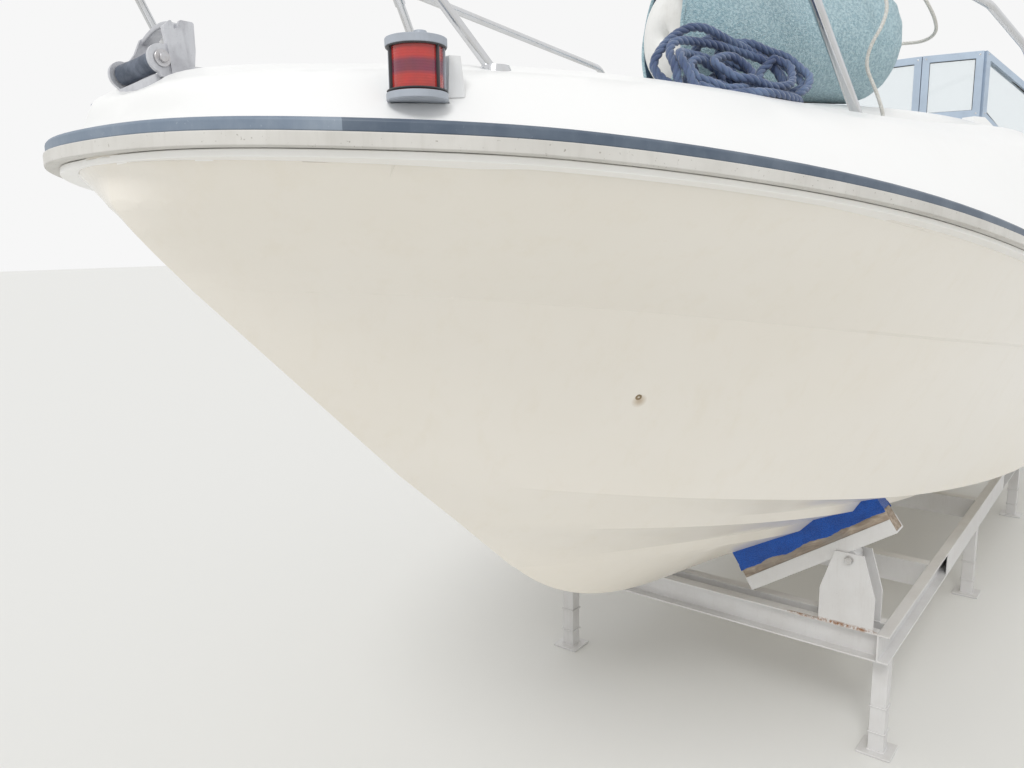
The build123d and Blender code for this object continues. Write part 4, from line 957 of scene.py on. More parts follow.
new_piece("helm_gauges", closed_shape(bezels), black_plastic, "boat")
new_piece("helm_gauge_marks", closed_shape(marks), dial_finish, "boat")
wheel_centre = Vector((-0.345, -0.400, 1.600))
wheel_facing = Vector((-math.cos(math.radians(20)), 0, math.sin(math.radians(20))))
shape = bmesh.new()
add_turned(shape, placed(wheel_centre, wheel_facing), [(0, 0.010), (0.012, 0.0095), (0.024, 0.006),
                                                       (0.030, 0.001),
                                                       (0.031, -0.006)], 40)
new_piece("wheel_cap", closed_shape(shape), steel_finish, "wheel")

# Seats: two vinyl bucket seats, each a crowned squab and a backrest with piping sewn round its edge, on a
# stainless pedestal.
vinyl_finish, tree, shader = new_finish("seat_vinyl", (0.80, 0.775, 0.71), 0.48, Sheen_Weight=0.1)
place = add_node(tree, "TexCoord").outputs["Object"]
dirt = use_group(tree, stains, Clean=(0.80, 0.775, 0.71, 1), Stained=(0.60, 0.55, 0.46, 1), Drift=0.4,
                 Streaks=0.1,
                 Specks=0.15, Scale=4.0)
leather = add_node(tree, "TexVoronoi", {"Vector": place, "Scale": 420.0}, feature="DISTANCE_TO_EDGE")
lift = add_node(tree, "Bump", {"Height": leather.outputs["Distance"], "Strength": 0.35, "Distance": 0.0007})
tree.links.new(dirt.outputs["Color"], shader.inputs["Base Color"])
tree.links.new(lift.outputs[0], shader.inputs["Normal"])
piping_finish = stained_finish("piping_vinyl", (0.10, 0.16, 0.28), (0.2, 0.24, 0.3), 0.45, drift=0.3,
                               scale=5.0)
seat_cushions = [
    # name, middle, direction of its crowned face, half length, half width, half thickness
    ("squab", (-0.762, 0, 1.4555), (0, 0, 1), 0.205, 0.216, 0.063),
    ("backrest", (-1.032, 0, 1.652), (0.9914, 0, 0.1305), 0.245, 0.214, 0.046),
]
cushion_cuts = 14
rounding_power = 5
channel_depth = 0.006


def cushion_point(u, v, w, half):
    """Point of a crowned cushion from a point of a cube: rounded corners, pulled-in sides, sewn channels."""
    power = rounding_power
    scale = (abs(u) ** power + abs(v) ** power + abs(w) ** power) ** (1 / power)
    u, v, w = u / scale, v / scale, w / scale
    crown = (1 - u * u) * (1 - v * v)
    length, width, thick = half
    channel = math.exp(-((abs(v) - 0.36) / 0.035) ** 2) * channel_depth * (abs(u) < 0.93)
    height = w * thick * (0.80 + 0.20 * crown ** 0.5)
    if w > 0:
        height -= channel * w
    waist = 1 - 0.025 * (1 - w * w)
    return Vector((u * length * waist, v * width * waist, height))


for side, hand in ((-1, "starboard"), (1, "port")):
    for label, middle, facing, length, width, thick in seat_cushions:
        place = placed(Vector((middle[0], side * 0.400, middle[2])), facing, (0, 1, 0))
        shape = bmesh.new()
        bmesh.ops.create_cube(shape, size=2)
        bmesh.ops.subdivide_edges(shape, edges=shape.edges[:], cuts=cushion_cuts, use_grid_fill=True)
        for vertex in shape.verts:
            vertex.co = place @ cushion_point(*vertex.co, (length, width, thick))
        piece = new_piece(f"seat_{label}_{hand}", closed_shape(shape, 60), vinyl_finish, "boat")
        piece.modifiers.new("smooth", "SUBSURF").levels = 1
        piece.modifiers["smooth"].render_levels = 1
        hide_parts("seats")
        rim = []
        for step in range(72):
            angle = 2 * math.pi * step / 72
            across = Vector((math.cos(angle), math.sin(angle), 0))
            across /= max(abs(across.x), abs(across.y))
            rim.append(place @ cushion_point(across.x, across.y, 0.55,
                                             (length * 1.004, width * 1.004, thick)))
        curve = bpy.data.curves.new("piping", "CURVE")
        curve.dimensions = "3D"
        curve.bevel_depth = 0.0045
        curve.bevel_resolution = 2
        spline = curve.splines.new("POLY")
        spline.points.add(len(rim) - 1)
        for point, spot in zip(spline.points, rim):
            point.co = (*spot, 1)
        spline.use_cyclic_u = True
        holder = linked("piping", curve)
        bpy.context.view_layer.update()
        mesh = bpy.data.meshes.new_from_object(holder)
        bpy.data.objects.remove(holder)
        mesh.shade_smooth()
        new_piece(f"seat_{label}_piping_{hand}", mesh, piping_finish, "boat")
dressed("seat_pedestals", steel_finish, soften=0.0015)

# Cleats: stainless two-legged horns, through-bolted with four countersunk screws.
cleat_rows = [(3.035, 0, 1.930), (-2.450, 0.750, 1.600), (-2.450, -0.750, 1.600)]
dressed("mooring_cleats", steel_finish, soften=0.0012, crease=35)
shape = bmesh.new()
for x, y, z in cleat_rows:
    for ahead in (-0.048, 0.048):
        for aside in (-0.012, 0.012):
            add_screw(shape, placed((x + ahead, y + aside, z + 0.0046), (0, 0, 1)), 0.0036)
new_piece("cleat_screws", closed_shape(shape), steel_finish, "boat")
# Fender: white inflated vinyl with a moulded eye at each end, lying on the foredeck in a terry sleeve. The sleeve
# is a tube of pale teal towelling, hemmed at its slack fore mouth and drawn in at the after end. Its inner face is
# painted dark slate, as painted shade inside the sleeve.
fender_dome = 0.092
cover_cloth = 0.004
terry_teal = (0.40, 0.57, 0.63)
terry_shadow = (0.27, 0.43, 0.50)
# Dark slate for the sleeve's inner face: painted shade inside the sleeve.
inside_shade_slate = (0.045, 0.085, 0.14)
fender_finish = stained_finish("fender_vinyl", (0.84, 0.84, 0.82), (0.58, 0.57, 0.53), 0.32, drift=0.5,
                               streaks=0.2,
                               specks=0.2, scale=5.0, bump=0.1)
shape = bmesh.new()
axis_place = placed(fender_front, fender_along)
length = fender_length
add_turned(shape, axis_place,
           [(0.006, 0.030), (0.013, 0.024), (0.016, 0.012), (0.024, 0.006), (0.034, 0.001), (0.050, 0.003),
            (0.078, 0.012), (0.104, 0.028), (0.124, 0.050), (0.137, 0.074), (fender_radius, fender_dome),
            (fender_radius, length / 2), (fender_radius, length - fender_dome), (0.137, length - 0.074),
            (0.124, length - 0.050), (0.104, length - 0.028), (0.078, length - 0.012),
            (0.050, length - 0.003),
            (0.034, length - 0.001), (0.024, length - 0.006), (0.016, length - 0.012),
            (0.013, length - 0.024),
            (0.006, length - 0.030), (0.006, 0.030)], 64)
fender = new_piece("fender_shown", closed_shape(shape, 50), fender_finish, "boat")
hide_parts("fender")

terry, tree, shader = new_finish("terry", terry_teal, 0.95, Sheen_Weight=0.35, Sheen_Roughness=0.6)
place = add_node(tree, "TexCoord").outputs["Object"]
loops = add_node(tree, "TexVoronoi", {"Vector": place, "Scale": 330.0}, feature="F1")
patches = add_node(tree, "TexNoise", {"Vector": place, "Scale": 9.0, "Detail": 3.0})
pits = add_node(tree, "TexNoise", {"Vector": place, "Scale": 170.0, "Detail": 2.0})
pit_mask = add_node(tree, "MapRange", {"Value": pits.outputs["Fac"], "From Min": 0.40, "From Max": 0.62})
tone = add_node(tree, "Mix", {0: patches.outputs["Fac"], 6: (*terry_teal, 1), 7: (0.50, 0.66, 0.70, 1)},
                data_type="RGBA")
# Darker in the pits: painted shade in the towelling's hollows.
hollow_shade = add_node(tree, "Mix", {0: pit_mask.outputs[0], 6: (*terry_shadow, 1), 7: tone.outputs[2]},
                data_type="RGBA")
lift = add_node(tree, "Bump", {"Height": loops.outputs["Distance"], "Strength": 1.0, "Distance": 0.0025})
tree.links.new(hollow_shade.outputs[2], shader.inputs["Base Color"])
tree.links.new(lift.outputs[0], shader.inputs["Normal"])
# Inner wall of the sleeve, coloured dark as painted shade.
sleeve_inside_shade = stained_finish("sleeve_inside_shade_paint", inside_shade_slate, (0.09, 0.13, 0.19), 0.9, drift=0.5, scale=9.0,
                        bump=0.8,
                        bump_scale=500.0)
sleeve_radii = [(-0.040, 0.124), (0.0, 0.131), (0.05, 0.1415), (fender_dome, 0.1465), (0.20, 0.1470),
                (length / 2, 0.1475), (0.50, 0.1470), (length - fender_dome, 0.1465), (length - 0.060, 0.139),
                (length - 0.035, 0.118), (length - 0.012, 0.086), (length - 0.002, 0.060)]
sleeve_rows = 64
sleeve_around = 96
far_side = math.radians(200)
shape = bmesh.new()
rings = []
for row in range(sleeve_rows + 1):
    share = row / sleeve_rows
    ring = []
    for step in range(sleeve_around):
        angle = 2 * math.pi * step / sleeve_around
        mouth = 0.012 - 0.046 * math.cos(angle - far_side)
        along = mouth + (length - 0.002 - mouth) * share
        out = Vector((math.cos(angle), math.sin(angle), 0))
        soft = noise.noise(Vector((out.x * 1.6, out.y * 1.6, along * 7.0)))
        gather = max(along - (length - 0.10), 0) / 0.10
        slack = max(0.10 - along, 0) / 0.14
        radius = between(sleeve_radii, along) + 0.0025 * soft + 0.0035 * gather * math.cos(17 * angle)
        radius += 0.007 * slack * (math.cos(3 * angle + 0.7) + 0.5 * math.cos(7 * angle))
        radius = max(radius, between(sleeve_radii, along) - 0.001) if along > 0.05 else radius
        ring.append(shape.verts.new(axis_place @ (out * radius + Vector((0, 0, along)))))
    rings.append(ring)
for ring, after in zip(rings, rings[1:]):
    for step in range(sleeve_around):
        ahead = (step + 1) % sleeve_around
        shape.faces.new((ring[step], ring[ahead], after[ahead], after[step]))
for vertex in shape.verts:
    hit = deck_surface.ray_cast(Vector((vertex.co.x, vertex.co.y, 2.4)), Vector((0, 0, -1)))[0]
    if hit and vertex.co.z < hit.z + cover_cloth + 0.001:
        vertex.co.z = hit.z + cover_cloth + 0.001
sleeve = new_piece("fender_sleeve", closed_shape(shape, 80), [terry, sleeve_inside_shade], "boat")
wall = sleeve.modifiers.new("cloth", "SOLIDIFY")
wall.thickness = cover_cloth
wall.offset = -1
wall.material_offset = 1
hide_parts("fender_cover")


def tube_mesh(name, line, radius, closed=False, ripple=0.0):
    """Round bar or weld bead along a line, its thickness rippled from point to point."""
    curve = bpy.data.curves.new(name, "CURVE")
    curve.dimensions = "3D"
    curve.bevel_depth = radius
    curve.bevel_resolution = 2
    curve.use_fill_caps = True
    spline = curve.splines.new("POLY")
    spline.points.add(len(line) - 1)
    for number, (point, spot) in enumerate(zip(spline.points, line)):
        point.co = (*spot, 1)
        point.radius = 1 - ripple * (number % 2)
    spline.use_cyclic_u = closed
    holder = linked(name, curve)
    bpy.context.view_layer.update()
    mesh = bpy.data.meshes.new_from_object(holder)
    bpy.data.objects.remove(holder)
    mesh.shade_smooth()
    return mesh


hem_line = [vertex.co.copy() for vertex in sleeve.data.vertices[:sleeve_around]]
new_piece("sleeve_hem", tube_mesh("sleeve_hem", hem_line, 0.0042, closed=True), terry, "boat")

# Fender lanyard: off-white braided cord spliced to the fender's after eye, thrown once over the bow rail, with
# its tail hanging to the deck.
lanyard_diameter = 0.009
lanyard_finish, tree, shader = new_finish("lanyard_braid", (0.78, 0.77, 0.73), 0.85)
place = add_node(tree, "TexCoord").outputs["Object"]
braid = add_node(tree, "TexWave", {"Vector": place, "Scale": 150.0, "Distortion": 6.0, "Detail": 2.0})
worn = add_node(tree, "Mix", {0: braid.outputs["Fac"], 6: (0.80, 0.79, 0.75, 1), 7: (0.60, 0.585, 0.54, 1)},
                data_type="RGBA")
lift = add_node(tree, "Bump", {"Height": braid.outputs["Fac"], "Strength": 0.7, "Distance": 0.001})
tree.links.new(worn.outputs[2], shader.inputs["Base Color"])
tree.links.new(lift.outputs[0], shader.inputs["Normal"])
eye_end = fender_back + fender_along * 0.004
rail_at = Vector((1.690, 0.5965, 2.3970))
rail_ring = 0.0125 + lanyard_diameter / 2 + 0.0045
lanyard_points = [eye_end, eye_end + fender_along * 0.030 + Vector((0, 0.004, 0.002)),
                  eye_end + fender_along * 0.060 + Vector((0.004, 0.035, 0.004)),
                  Vector((1.425, 0.672, 2.190)),
                  Vector((1.478, 0.716, 2.196)), Vector((1.545, 0.722, 2.222)), Vector((1.605, 0.702, 2.268)),
                  Vector((1.645, 0.668, 2.322)), Vector((1.672, 0.638, 2.370))]
for step in range(7):
    angle = math.radians(-20 + 33 * step)
    lanyard_points.append(rail_at + Vector((0.004 * step - 0.008, math.cos(angle) * rail_ring,
                                            math.sin(angle) * rail_ring)))
lanyard_points += [Vector((1.722, 0.578, 2.352)), Vector((1.730, 0.592, 2.315)),
                   Vector((1.737, 0.640, 2.268)),
                   Vector((1.752, 0.668, 2.220)), Vector((1.770, 0.664, 2.172)),
                   Vector((1.778, 0.640, 2.128)),
                   Vector((1.770, 0.630, 2.085)), Vector((1.752, 0.648, 2.040)),
                   Vector((1.735, 0.662, 1.995)),
                   Vector((1.716, 0.664, 1.962)), Vector((1.690, 0.660, 1.9500)),
                   Vector((1.650, 0.650, 1.9500)),
                   Vector((1.600, 0.655, 1.9530))]
settled = []
for point in lanyard_points:
    ground = deck_surface.ray_cast(Vector((point.x, point.y, 2.5)), Vector((0, 0, -1)))[0]
    floor_z = ground.z + lanyard_diameter / 2 + 0.0005 if ground else point.z
    settled.append(Vector((point.x, point.y, max(point.z, floor_z))))
lanyard_line = even_line(smooth_line("lanyard", settled), 0.004)
lanyard = new_piece("fender_lanyard", strand_mesh("fender_lanyard", lanyard_line, lanyard_diameter, 0.022, 3,
                                                  1),
                    lanyard_finish, "boat")
# Outboard motor: painted cast leg and clamp, a moulded cowl held by a latch over a rubber seam, and a cast
# three-blade propeller on a splined hub. Powerhead castings stand closed inside the cowl.
engine_finish = stained_finish("engine_paint", (0.045, 0.05, 0.058), (0.11, 0.11, 0.11), 0.22, drift=0.3,
                               specks=0.2,
                               scale=3.0, Coat_Weight=0.4)
iron_finish = stained_finish("powerhead_iron", (0.16, 0.165, 0.17), (0.09, 0.075, 0.06), 0.55, drift=0.6,
                             specks=0.4,
                             scale=8.0, bump=0.4, Metallic=0.4)
zinc_finish = stained_finish("zinc_anode", (0.46, 0.47, 0.48), (0.62, 0.62, 0.60), 0.6, drift=0.8, specks=0.4,
                             scale=14.0, bump=0.6, Metallic=0.6)
seam_z = 1.232
cowl_axis = Vector((-3.175, 0, 0))
hub_back = Vector((-3.277, 0, 0.302))
hub_radius = 0.048
hub_length = 0.096
blade_tip = 0.164
blade_advance = 0.508
for name, finish, slot, soften in (("clamp_bracket", engine_finish, "engine_paint", 0.003),
                                   ("swivel_bracket", engine_finish, "engine_paint", 0.003),
                                   ("engine_leg", engine_finish, "engine_paint", 0.003),
                                   ("engine_cowl", engine_finish, "engine_paint", 0.004),
                                   ("powerhead", iron_finish, "powerhead_iron", 0.003)):
    dressed(name, finish, soften=soften)
cowl_surface = surface_of("engine_cowl")
seam_line = []
for step in range(96):
    angle = 2 * math.pi * step / 96
    outward = Vector((math.cos(angle), math.sin(angle), 0))
    start = Vector((cowl_axis.x, 0, seam_z)) + 0.6 * outward
    seam_line.append(cowl_surface.ray_cast(start, -outward)[0] - 0.0022 * outward)
new_piece("cowl_seam", tube_mesh("cowl_seam", seam_line, 0.0036, closed=True), black_plastic, "engine")
shape = bmesh.new()
for row in range(5):
    for column in range(3):
        start = Vector((-4, 0.062 * (column - 1), 1.560 + 0.017 * row))
        spot, normal = cowl_surface.ray_cast(start, Vector((1, 0, 0)))[:2]
        add_block(shape, placed(spot, normal), (0.052, 0.0075, 0.009), edge=0.002)
spot, normal = cowl_surface.ray_cast(Vector((-2, 0, seam_z + 0.004)), Vector((-1, 0, 0)))[:2]
add_block(shape, placed(spot, normal), (0.052, 0.060, 0.014), edge=0.005)
add_block(shape, placed(spot + normal * 0.010 + Vector((0, 0, -0.012)), normal), (0.034, 0.046, 0.012),
          edge=0.004)
new_piece("cowl_latch_and_louvres", closed_shape(shape), black_plastic, "engine")

leg_surface = surface_of("engine_leg")
shape = bmesh.new()
for side in (-1, 1):
    for x in (-3.085, -3.150, -3.215):
        spot, normal = leg_surface.ray_cast(Vector((x, side, 0.520)), Vector((0, -side, 0)))[:2]
        if spot:
            add_bolt(shape, placed(spot, (0, side, 0)), 0.0075, 0.005, washer=0.010)
new_piece("gearcase_bolts", closed_shape(shape), steel_finish, "engine")
shape = bmesh.new()
for side in (-1, 1):
    add_bolt(shape, placed((-2.845, side * 0.102, 1.085), (0, side, 0)), 0.017, 0.011, washer=0.022)
bracket_surface = surface_of("clamp_bracket")
for side in (-1, 1):
    for z in (0.800, 0.885, 0.970):
        spot = bracket_surface.ray_cast(Vector((-2.840, side, z)), Vector((0, -side, 0)))[0]
        if spot:
            add_turned(shape, placed(spot, (0, side, 0)), [(0, 0.0015), (0.007, 0.0015), (0.009, 0.0005),
                                                           (0.009, -0.002)], 20)
new_piece("clamp_bolts", closed_shape(shape), steel_finish, "boat")
shape = bmesh.new()
for side in (-1, 1):
    spot = leg_surface.ray_cast(Vector((-3.120, side, 0.575)), Vector((0, -side, 0)))[0]
    if spot:
        add_block(shape, placed(spot, (0, side, 0)), (0.075, 0.030, 0.014), edge=0.004)
new_piece("leg_anodes", closed_shape(shape), zinc_finish, "engine")


def blade_point(turn, radius, chord, side):
    """Point of a blade's face: an advancing screw surface, raked aft, thick in its middle and swept at its tip."""
    out = (radius - hub_radius) / (blade_tip - hub_radius)
    pitch = math.atan(blade_advance / (2 * math.pi * radius))
    width = 0.062 + 0.062 * math.sin(math.pi * min(out * 0.78 + 0.10, 1)) - 0.112 * max(out - 0.82, 0) / 0.18
    along = width * (chord - 0.5) + 0.016 * out * out
    thick = (0.0046 - 0.0034 * out) * (1 - (2 * chord - 1) ** 2) + 0.0005
    lean = Vector((math.sin(pitch), math.cos(pitch)))
    x = hub_back.x - hub_length / 2 + along * lean.x + side * thick * lean.y - 0.010 * out
    around = turn + (along * lean.y - side * thick * lean.x) / radius
    return Vector((x, radius * math.sin(around), hub_back.z + radius * math.cos(around)))


shape = bmesh.new()
for blade in range(3):
    sheets = {}
    for side in (-1, 1):
        for row in range(15):
            radius = hub_radius - 0.004 + (blade_tip - hub_radius + 0.004) * row / 14
            for step in range(17):
                sheets[side, row, step] = shape.verts.new(blade_point(2 * math.pi * blade / 3, radius,
                                                                      step / 16, side))
    for row in range(14):
        for step in range(16):
            for side in (-1, 1):
                shape.faces.new([sheets[side, row, step], sheets[side, row + 1, step],
                                 sheets[side, row + 1, step + 1],
                                 sheets[side, row, step + 1]])
        for step in (0, 16):
            shape.faces.new([sheets[-1, row, step], sheets[1, row, step], sheets[1, row + 1, step],
                             sheets[-1, row + 1, step]])
    for row in (0, 14):
        for step in range(16):
            shape.faces.new([sheets[-1, row, step], sheets[1, row, step], sheets[1, row, step + 1],
                             sheets[-1, row, step + 1]])
add_turned(shape, placed(hub_back, (-1, 0, 0)),
           [(0.0142, 0.0005), (0.030, 0.0005), (0.034, 0.004), (0.044, 0.004), (0.0462, 0.008),
            (0.048, 0.030),
            (0.0475, 0.080), (0.0455, 0.0945), (0.0435, 0.0958), (0.0415, 0.0945), (0.040, 0.062),
            (0.0225, 0.060),
            (0.0215, 0.070), (0.0142, 0.070), (0.0142, 0.0005)], 48)
propeller = new_piece("propeller_shown", closed_shape(shape, 40), engine_finish, "screw")
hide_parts("propeller")

# Cradle: rolled channels and box legs welded up and sprayed a pale silver grey, rusting at the bracket feet.
cradle_finish, tree, shader = new_finish("cradle_paint", (0.66, 0.655, 0.65), 0.42, Metallic=0.10)
place = add_node(tree, "TexCoord").outputs["Object"]
dirt = use_group(tree, stains, Clean=(0.68, 0.675, 0.67, 1), Stained=(0.50, 0.475, 0.45, 1), Drift=0.3,
                 Streaks=0.2,
                 Specks=0.3, Scale=3.5)
split = add_node(tree, "SeparateXYZ", {"Vector": place})
beside = add_node(tree, "Math", {0: split.outputs["Y"]}, operation="ABSOLUTE").outputs[0]
rust_total = None
for ahead, low, high, top, size in ((1.246, 0.425, 0.606, 0.4545, 0.0050),
                                    (1.249, 0.330, 0.600, 0.4525, 0.0035),
                                    (-1.818, 0.478, 0.642, 0.4545, 0.0050)):
    along = band_mask(tree, beside, low, high, 0.02)
    foot = band_mask(tree, split.outputs["Z"], top - size, top + size, 0.004)
    near = band_mask(tree, split.outputs["X"], ahead - 0.010, ahead + 0.006, 0.003)
    both = add_node(tree, "Math", {0: along, 1: foot}, operation="MULTIPLY").outputs[0]
    spot = add_node(tree, "Math", {0: both, 1: near}, operation="MULTIPLY").outputs[0]
    if rust_total is None:
        rust_total = spot
    else:
        rust_total = add_node(tree, "Math", {0: rust_total, 1: spot}, operation="MAXIMUM").outputs[0]
patches = add_node(tree, "TexNoise", {"Vector": place, "Scale": 75.0, "Detail": 5.0, "Roughness": 0.7})
ragged = add_node(tree, "MapRange", {"Value": patches.outputs["Fac"], "From Min": 0.40, "From Max": 0.54})
rusted = add_node(tree, "Math", {0: rust_total, 1: ragged.outputs[0]}, operation="MULTIPLY").outputs[0]
worn = add_node(tree, "Mix", {0: rusted, 6: dirt.outputs["Color"], 7: (0.30, 0.150, 0.070, 1)},
                data_type="RGBA")
rough = add_node(tree, "MapRange", {"Value": rusted, "To Min": 0.42, "To Max": 0.85})
lift = add_node(tree, "Bump", {"Height": patches.outputs["Fac"], "Strength": 0.25, "Distance": 0.0008})
tree.links.new(worn.outputs[2], shader.inputs["Base Color"])
tree.links.new(rough.outputs[0], shader.inputs["Roughness"])
tree.links.new(lift.outputs[0], shader.inputs["Normal"])
for name, soften in (("cradle_side_channels", 0.002), ("cradle_end_beams", 0.002),
                     ("cradle_middle_beams", 0.002),
                     ("cradle_legs", 0.003), ("bunk_brackets", 0.0015), ("bunk_channels", 0.0015)):
    dressed(name, cradle_finish, soften=soften)
leg_places = [(x, side * 0.616) for x in (1.151, -0.400, -1.810) for side in (-1, 1)]
cradle_top = 0.453


def weld_run(start, end, spacing=0.0035):
    """Points of a weld bead laid by hand between two places."""
    start = Vector(start)
    end = Vector(end)
    count = max(int((end - start).length / spacing), 3)
    return [start.lerp(end, step / count) + 0.0006 * noise.noise_vector(40 * start.lerp(end, step / count))
            for step in range(count + 1)]


def join_meshes(meshes):
    """One bmesh of several meshes."""
    shape = bmesh.new()
    for mesh in meshes:
        shape.from_mesh(mesh)
    return shape


welds = []
for x, y in leg_places:
    for z in (0.0085, 0.073, 0.165, 0.3565):
        half = 0.0262
        ring = [(x + half, y - half, z), (x + half, y + half, z), (x - half, y + half, z),
                (x - half, y - half, z)]
        points = [point for first, last in zip(ring, ring[1:] + ring[:1])
                  for point in weld_run(first, last)[:-1]]
        welds.append(tube_mesh("weld", points, 0.0036, closed=True, ripple=0.35))
for faces, foot in (((1.246, 1.239, 1.158, 1.151), (0.430, 0.602)),
                    ((-1.818, -1.825, -1.906, -1.913), (0.480, 0.640))):
    for x in faces:
        for side in (-1, 1):
            line = weld_run((x, side * foot[0], cradle_top + 0.0008),
                            (x, side * foot[1], cradle_top + 0.0008))
            welds.append(tube_mesh("weld", line, 0.0028, ripple=0.3))
new_piece("cradle_welds", join_meshes(welds), cradle_finish, "boat")
shape = bmesh.new()
for y, z, ends in ((0.517, 0.676, (1.246, 1.151)), (0.555, 0.512, (-1.818, -1.913))):
    for side in (-1, 1):
        add_bolt(shape, placed((ends[0], side * y, z), (1, 0, 0)), 0.0130, 0.0115, washer=0.0150)
        add_bolt(shape, placed((ends[1], side * y, z), (-1, 0, 0)), 0.0130, 0.0115, washer=0.0150)
bolt_zinc = stained_finish("bolt_zinc", (0.62, 0.62, 0.62), (0.36, 0.30, 0.24), 0.34, drift=0.5, specks=0.3,
                           scale=16.0,
                           Metallic=0.7)
new_piece("bunk_pivot_nuts", closed_shape(shape), bolt_zinc, "boat")

# Bunks: weathered softwood timbers bedded in the steel channels, topped with vivid blue carpet pinned over their
# edges by hand, its lower edge wavy.
bunk_places = [(x, side, y, z, slope, length) for x, y, z, slope, length in
               ((1.200, 0.200, 0.488, 34, 0.545), (-1.864, 0.315, 0.466, 14, 0.500)) for side in (1, -1)]
timber_top = 0.080


def bunk_frame(x, side, y, z, slope):
    """Matrix of a bunk: X along it from its inner end, Y across it, Z square to it."""
    turn = math.radians(slope)
    along = Vector((0, side * math.cos(turn), math.sin(turn)))
    up = Vector((0, -side * math.sin(turn), math.cos(turn)))
    return Matrix.Translation((x, side * y, z)) @ Matrix((along, up.cross(along), up)).transposed().to_4x4()


def along_grain(shape):
    """Stores each vertex's place along its own bunk, for the timber's grain."""
    layer = shape.verts.layers.float_vector.new("grain")
    frames = [(bunk_frame(*bunk[:5]).inverted(), number) for number, bunk in enumerate(bunk_places)]
    for vertex in shape.verts:
        own, number = min(frames,
                          key=lambda pair: abs((pair[0] @ vertex.co).y) + abs((pair[0] @ vertex.co).z - 0.04))
        vertex[layer] = own @ vertex.co + Vector((number * 3.7, 0, 0))


def carpet_edges(shape):
    """Lets the carpet's two long edges hang over the timber's sides, unevenly."""
    for number, bunk in enumerate(bunk_places):
        place = bunk_frame(*bunk[:5])
        count = 110
        for across in (-1, 1):
            rows = []
            for step in range(count + 1):
                along = -0.002 + (bunk[5] + 0.004) * step / count
                slow = noise.noise(Vector((13 * along, 5.1 * number, across)))
                fast = noise.noise(Vector((70 * along, 7.7 * number, across + 4)))
                hang = 0.0075 + 0.009 * max(slow, -0.55) + 0.0025 * fast
                if number == 0 and across == 1:
                    hang += 0.010 * math.exp(-((along - 0.115) / 0.016) ** 2)
                    hang -= 0.016 * math.exp(-((along - 0.330) / 0.009) ** 2)
                swell = 0.0014 * noise.noise(Vector((30 * along, 2.2 * number, across + 9)))
                outline = ((0.0318, timber_top + 0.012), (0.0338, timber_top + 0.004),
                           (0.0352 + swell, timber_top - 0.4 * hang),
                           (0.0356 + 1.6 * swell, timber_top - hang),
                           (0.0330 + 1.6 * swell, timber_top - hang - 0.0008),
                           (0.0322, timber_top - 0.3 * hang))
                rows.append([shape.verts.new(place @ Vector((along, across * wide, high)))
                             for wide, high in outline])
            for first, last in zip(rows, rows[1:]):
                for corner in range(5):
                    shape.faces.new([first[corner], last[corner], last[corner + 1], first[corner + 1]])
                shape.faces.new([first[5], last[5], last[0], first[0]])
            for ends in (rows[0], rows[-1]):
                shape.faces.new(ends)
    bmesh.ops.recalc_face_normals(shape, faces=shape.faces)


timber_finish, tree, shader = new_finish("weathered_timber", (0.30, 0.25, 0.20), 0.8)
grain_place = add_node(tree, "Attribute")
grain_place.attribute_name = "grain"
local = grain_place.outputs["Vector"]
stretched = add_node(tree, "VectorMath", {0: local, 1: (2.2, 46.0, 46.0)}, operation="MULTIPLY").outputs[0]
wander = add_node(tree, "TexNoise", {"Vector": local, "Scale": 7.0, "Detail": 2.0})
warped = add_node(tree, "VectorMath", {0: wander.outputs["Color"], "Scale": 3.2},
                  operation="SCALE").outputs[0]
bent = add_node(tree, "VectorMath", {0: stretched, 1: warped}, operation="ADD").outputs[0]
fibre = add_node(tree, "TexNoise", {"Vector": bent, "Scale": 1.4, "Detail": 6.0, "Roughness": 0.62})
fibre_mask = add_node(tree, "MapRange", {"Value": fibre.outputs["Fac"], "From Min": 0.34, "From Max": 0.66})
wood = add_node(tree, "Mix", {0: fibre_mask.outputs[0], 6: (0.20, 0.150, 0.112, 1),
                              7: (0.50, 0.415, 0.330, 1)},
                data_type="RGBA")
knots = None
for number, along, across, high, size in ((0, 0.150, 0.032, 0.062, 0.011), (0, 0.405, 0.032, 0.058, 0.014),
                                          (1, 0.250, 0.032, 0.060, 0.012), (2, 0.310, 0.032, 0.060, 0.012),
                                          (3, 0.120, 0.032, 0.064, 0.010)):
    knot = near_mask(tree, local, (along + 3.7 * number, across, high), size)
    if knots is None:
        knots = knot
    else:
        knots = add_node(tree, "Math", {0: knots, 1: knot}, operation="MAXIMUM").outputs[0]
weathered = add_node(tree, "TexNoise", {"Vector": local, "Scale": 9.0, "Detail": 4.0})
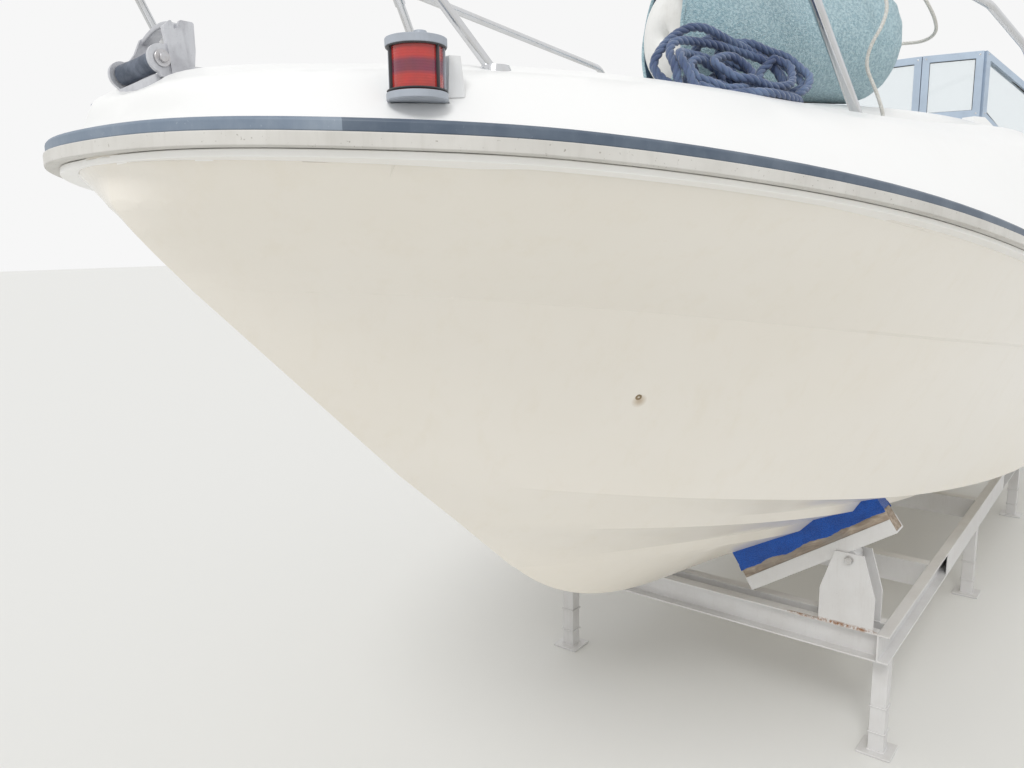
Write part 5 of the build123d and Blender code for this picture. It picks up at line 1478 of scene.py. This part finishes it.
grey_mask = add_node(tree, "MapRange", {"Value": weathered.outputs["Fac"], "From Min": 0.45, "From Max": 0.70,
                                        "To Max": 0.6})
greyed = add_node(tree, "Mix", {0: grey_mask.outputs[0], 6: wood.outputs[2], 7: (0.33, 0.32, 0.30, 1)},
                  data_type="RGBA")
knotted = add_node(tree, "Mix", {0: knots, 6: greyed.outputs[2], 7: (0.095, 0.060, 0.040, 1)},
                   data_type="RGBA")
lift = add_node(tree, "Bump", {"Height": fibre.outputs["Fac"], "Strength": 0.8, "Distance": 0.0012})
tree.links.new(knotted.outputs[2], shader.inputs["Base Color"])
tree.links.new(lift.outputs[0], shader.inputs["Normal"])
dressed("bunk_timbers", timber_finish, soften=0.0025, reshape=(along_grain,))

carpet_finish, tree, shader = new_finish("blue_carpet", (0.010, 0.105, 0.50), 0.95, Sheen_Weight=0.4,
                                         Sheen_Roughness=0.5)
place = add_node(tree, "TexCoord").outputs["Object"]
pile = add_node(tree, "TexNoise", {"Vector": place, "Scale": 620.0, "Detail": 3.0})
rib = add_node(tree, "TexVoronoi", {"Vector": place, "Scale": 260.0}, feature="F1")
tuft = add_node(tree, "Math", {0: pile.outputs["Fac"], 1: rib.outputs["Distance"]},
                operation="SUBTRACT").outputs[0]
dirt = use_group(tree, stains, Clean=(0.012, 0.115, 0.53, 1), Stained=(0.020, 0.060, 0.25, 1), Drift=0.55,
                 Streaks=0.2,
                 Specks=0.6, Scale=7.0)
# Darker blue where the tuft bump lies low, between the tufts: painted shade in the pile's hollows.
hollow_shade = add_node(tree, "MapRange", {"Value": rib.outputs["Distance"], "From Min": 0.25, "From Max": 0.75,
                                   "To Max": 0.5})
piled_and_shaded = add_node(tree, "Mix", {0: hollow_shade.outputs[0], 6: dirt.outputs["Color"], 7: (0.006, 0.045, 0.26, 1)},
                 data_type="RGBA")
lift = add_node(tree, "Bump", {"Height": tuft, "Strength": 0.9, "Distance": 0.0016})
tree.links.new(piled_and_shaded.outputs[2], shader.inputs["Base Color"])
tree.links.new(lift.outputs[0], shader.inputs["Normal"])
carpet = dressed("bunk_carpets", carpet_finish, crease=40, reshape=(carpet_edges,))
